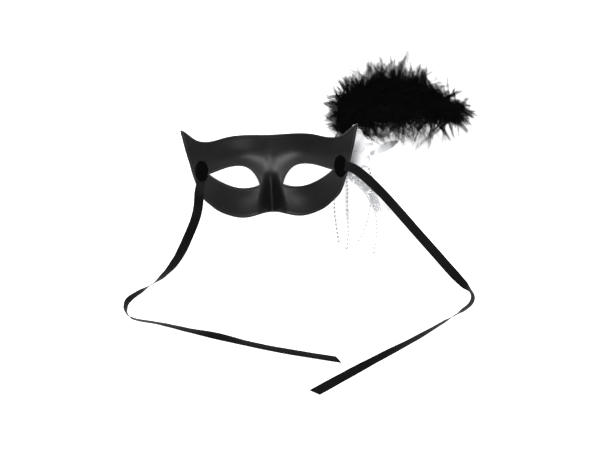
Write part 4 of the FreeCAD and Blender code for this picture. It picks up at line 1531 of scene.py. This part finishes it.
BEAD_COUNTS = [18, 19, 20, 26]


def make_thread(number, route):
    """A thread as a smooth curve with a round section."""
    curve = bpy.data.curves.new(f"bead_thread_{number}", "CURVE")
    curve.dimensions = "3D"
    curve.resolution_u = 10
    spline = curve.splines.new("NURBS")
    spline.points.add(len(route) - 1)
    for point, place in zip(spline.points, millimetres(route)):
        point.co = (*place, 1.0)
    spline.order_u = 3
    spline.use_endpoint_u = True
    curve.bevel_depth = sizes().thread_diameter / 2
    curve.bevel_resolution = 3
    curve.use_fill_caps = True
    curve.materials.append(finish("strand_thread"))
    piece = adopt(bpy.data.objects.new(f"bead_thread_{number}", curve), f"strand_{number}")
    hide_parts(f"strand_thread_{number}")
    return piece


def make_strands():
    """Four strands of metallised beads, each ending in a larger one."""
    small = sizes().bead_diameter / 2
    large = sizes().end_bead_diameter / 2
    dice = random.Random(3)
    for number, (route, count) in enumerate(zip(STRAND_ROUTES, BEAD_COUNTS), start=1):
        thread = make_thread(number, route)
        line = nurbs_line(millimetres(route), 0.2 * MM)
        length = sum((b - a).length for a, b in zip(line, line[1:]))

        def along(distance, line=line, length=length):
            at = min(0.9999, max(0.0, distance / length)) * (len(line) - 1)
            i = int(at)
            return line[i].lerp(line[i + 1], at - i), (line[i + 1] - line[i]).normalized()

        last = length - large - 0.5 * MM
        spread = last - (large + small + 0.8 * MM) - 2.6 * MM
        bits = Bits()
        for i in range(count - 1):
            centre, way = along(2.6 * MM + spread * i / (count - 2))
            add_ball(bits, centre, small * dice.uniform(0.97, 1.0), way, 12, 18, bore=0.6 * MM)
        centre, way = along(last)
        add_ball(bits, centre, large, way, 14, 20, bore=0.6 * MM)
        beads = bits.build(f"beads_{number}", [finish("bead_metal")], body=f"strand_{number}",
                           cad_slot="beads")
        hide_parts(f"strand_beads_{number}")


# ------------------------------------------------------------------ floor, lights and camera
def make_floor():
    """A sheet of pale paper just under the mask."""
    bits = Bits()
    count, half = 24, 1.6
    rows = [[Vector((half * (2 * i / count - 1), half * (2 * k / count - 1), -0.3 * MM))
             for k in range(count + 1)] for i in range(count + 1)]
    add_grid(bits, rows)
    mesh = bpy.data.meshes.new("paper_floor")
    mesh.from_pydata(bits.verts, [], bits.faces)
    mesh.materials.append(finish("floor_paper"))
    floor = bpy.data.objects.new("paper_floor", mesh)
    bpy.context.scene.collection.objects.link(floor)


def add_area_light(name, place, target, size, power):
    """A round soft light that faces its target."""
    light = bpy.data.lights.new(name, "AREA")
    light.shape = "DISK"
    light.size = size
    light.energy = power
    held = bpy.data.objects.new(name, light)
    held.location = place
    way = Vector(target) - Vector(place)
    held.rotation_euler = way.to_track_quat("-Z", "Y").to_euler()
    bpy.context.scene.collection.objects.link(held)


def make_lights():
    """A bright soft box all round, so that shadows stay faint."""
    world = bpy.data.worlds.new("soft_box")
    world.use_nodes = True
    background = world.node_tree.nodes["Background"]
    background.inputs["Color"].default_value = (1, 1, 1, 1)
    background.inputs["Strength"].default_value = 0.36
    bpy.context.scene.world = world
    add_area_light("brow_light", (-0.12, 1.45, 1.35), (0, 0.03, 0), 0.7, 48)
    add_area_light("cheek_light", (0.9, -0.8, 1.4), (0.05, 0, 0), 1.0, 14)
    view = bpy.context.scene.view_settings
    view.view_transform = "Standard"
    view.look = "None"


def make_camera():
    """Looks straight down on the mask."""
    camera = bpy.data.cameras.new("overhead")
    camera.sensor_width = 36.0
    height = 2.4
    camera.lens = camera.sensor_width * height / 0.636
    camera.clip_end = 10.0
    held = bpy.data.objects.new("overhead", camera)
    held.location = (28.5 * MM, -18.4 * MM, height)
    held.rotation_euler = (0.0, 0.0, math.radians(-2.1))
    bpy.context.scene.collection.objects.link(held)
    bpy.context.scene.camera = held


# ------------------------------------------------------------------ operators and panel
class HALFMASK_OT_base(bpy.types.Operator):
    """Finish the shell, the velvet front, the lining and the folded binding."""
    bl_idname = "halfmask.base"
    bl_label = "Shell, lining and binding"

    def execute(self, context):
        make_base()
        make_lining()
        make_binding()
        make_stitches()
        return {"FINISHED"}


class HALFMASK_OT_braid(bpy.types.Operator):
    """Lay the silver gimp round the front's edge and eye holes."""
    bl_idname = "halfmask.braid"
    bl_label = "Silver braid"

    def execute(self, context):
        make_braid()
        return {"FINISHED"}


class HALFMASK_OT_ribbons(bpy.types.Operator):
    """Lay both tying ribbons and the felt patches over their glued ends."""
    bl_idname = "halfmask.ribbons"
    bl_label = "Ribbons and patches"

    def execute(self, context):
        make_ribbons()
        make_patches()
        return {"FINISHED"}


class HALFMASK_OT_flower(bpy.types.Operator):
    """Make the petals, the heart, the cut stone and the pad behind them."""
    bl_idname = "halfmask.flower"
    bl_label = "Flower"

    def execute(self, context):
        make_petals()
        make_gem()
        make_flower_pad()
        return {"FINISHED"}


class HALFMASK_OT_feather(bpy.types.Operator):
    """Make the plumes of down, their quills and the thread that binds them."""
    bl_idname = "halfmask.feather"
    bl_label = "Feather"

    def execute(self, context):
        make_feather()
        make_quill()
        return {"FINISHED"}


class HALFMASK_OT_lace(bpy.types.Operator):
    """Make the lace band, the organza tail and the organza leaf."""
    bl_idname = "halfmask.lace"
    bl_label = "Lace and organza"

    def execute(self, context):
        make_lace()
        make_organza()
        return {"FINISHED"}


class HALFMASK_OT_strands(bpy.types.Operator):
    """String the four bead strands."""
    bl_idname = "halfmask.strands"
    bl_label = "Bead strands"

    def execute(self, context):
        make_strands()
        return {"FINISHED"}


class HALFMASK_OT_stage(bpy.types.Operator):
    """Set the pale floor, the soft lights and the camera."""
    bl_idname = "halfmask.stage"
    bl_label = "Stage"

    def execute(self, context):
        make_floor()
        make_lights()
        make_camera()
        return {"FINISHED"}


OPERATORS = (HALFMASK_OT_stage, HALFMASK_OT_base, HALFMASK_OT_braid, HALFMASK_OT_ribbons,
             HALFMASK_OT_flower, HALFMASK_OT_feather, HALFMASK_OT_lace, HALFMASK_OT_strands)


class HALFMASK_PT_panel(bpy.types.Panel):
    """Lists the mask's operators, sizes and colours."""
    bl_idname = "HALFMASK_PT_panel"
    bl_label = "Half Mask"
    bl_space_type = "VIEW_3D"
    bl_region_type = "UI"
    bl_category = "Half Mask"

    def draw(self, context):
        for operator in OPERATORS:
            self.layout.operator(operator.bl_idname)
        for group in (context.scene.mask_sizes, context.scene.mask_colours):
            for name in group.__annotations__:
                self.layout.prop(group, name)


CLASSES = (MaskSizes, MaskColours, *OPERATORS, HALFMASK_PT_panel)


def register():
    for made in CLASSES:
        bpy.utils.register_class(made)
    bpy.types.Scene.mask_sizes = bpy.props.PointerProperty(type=MaskSizes)
    bpy.types.Scene.mask_colours = bpy.props.PointerProperty(type=MaskColours)


def unregister():
    del bpy.types.Scene.mask_colours
    del bpy.types.Scene.mask_sizes
    for made in reversed(CLASSES):
        bpy.utils.unregister_class(made)


def main():
    """Builds the whole mask and its stage, in order."""
    register()
    make_materials()
    bpy.ops.halfmask.stage()
    bpy.ops.halfmask.base()
    bpy.ops.halfmask.braid()
    bpy.ops.halfmask.ribbons()
    bpy.ops.halfmask.flower()
    bpy.ops.halfmask.feather()
    bpy.ops.halfmask.lace()
    bpy.ops.halfmask.strands()
    bpy.context.view_layer.update()


if __name__ == "__main__":
    main()
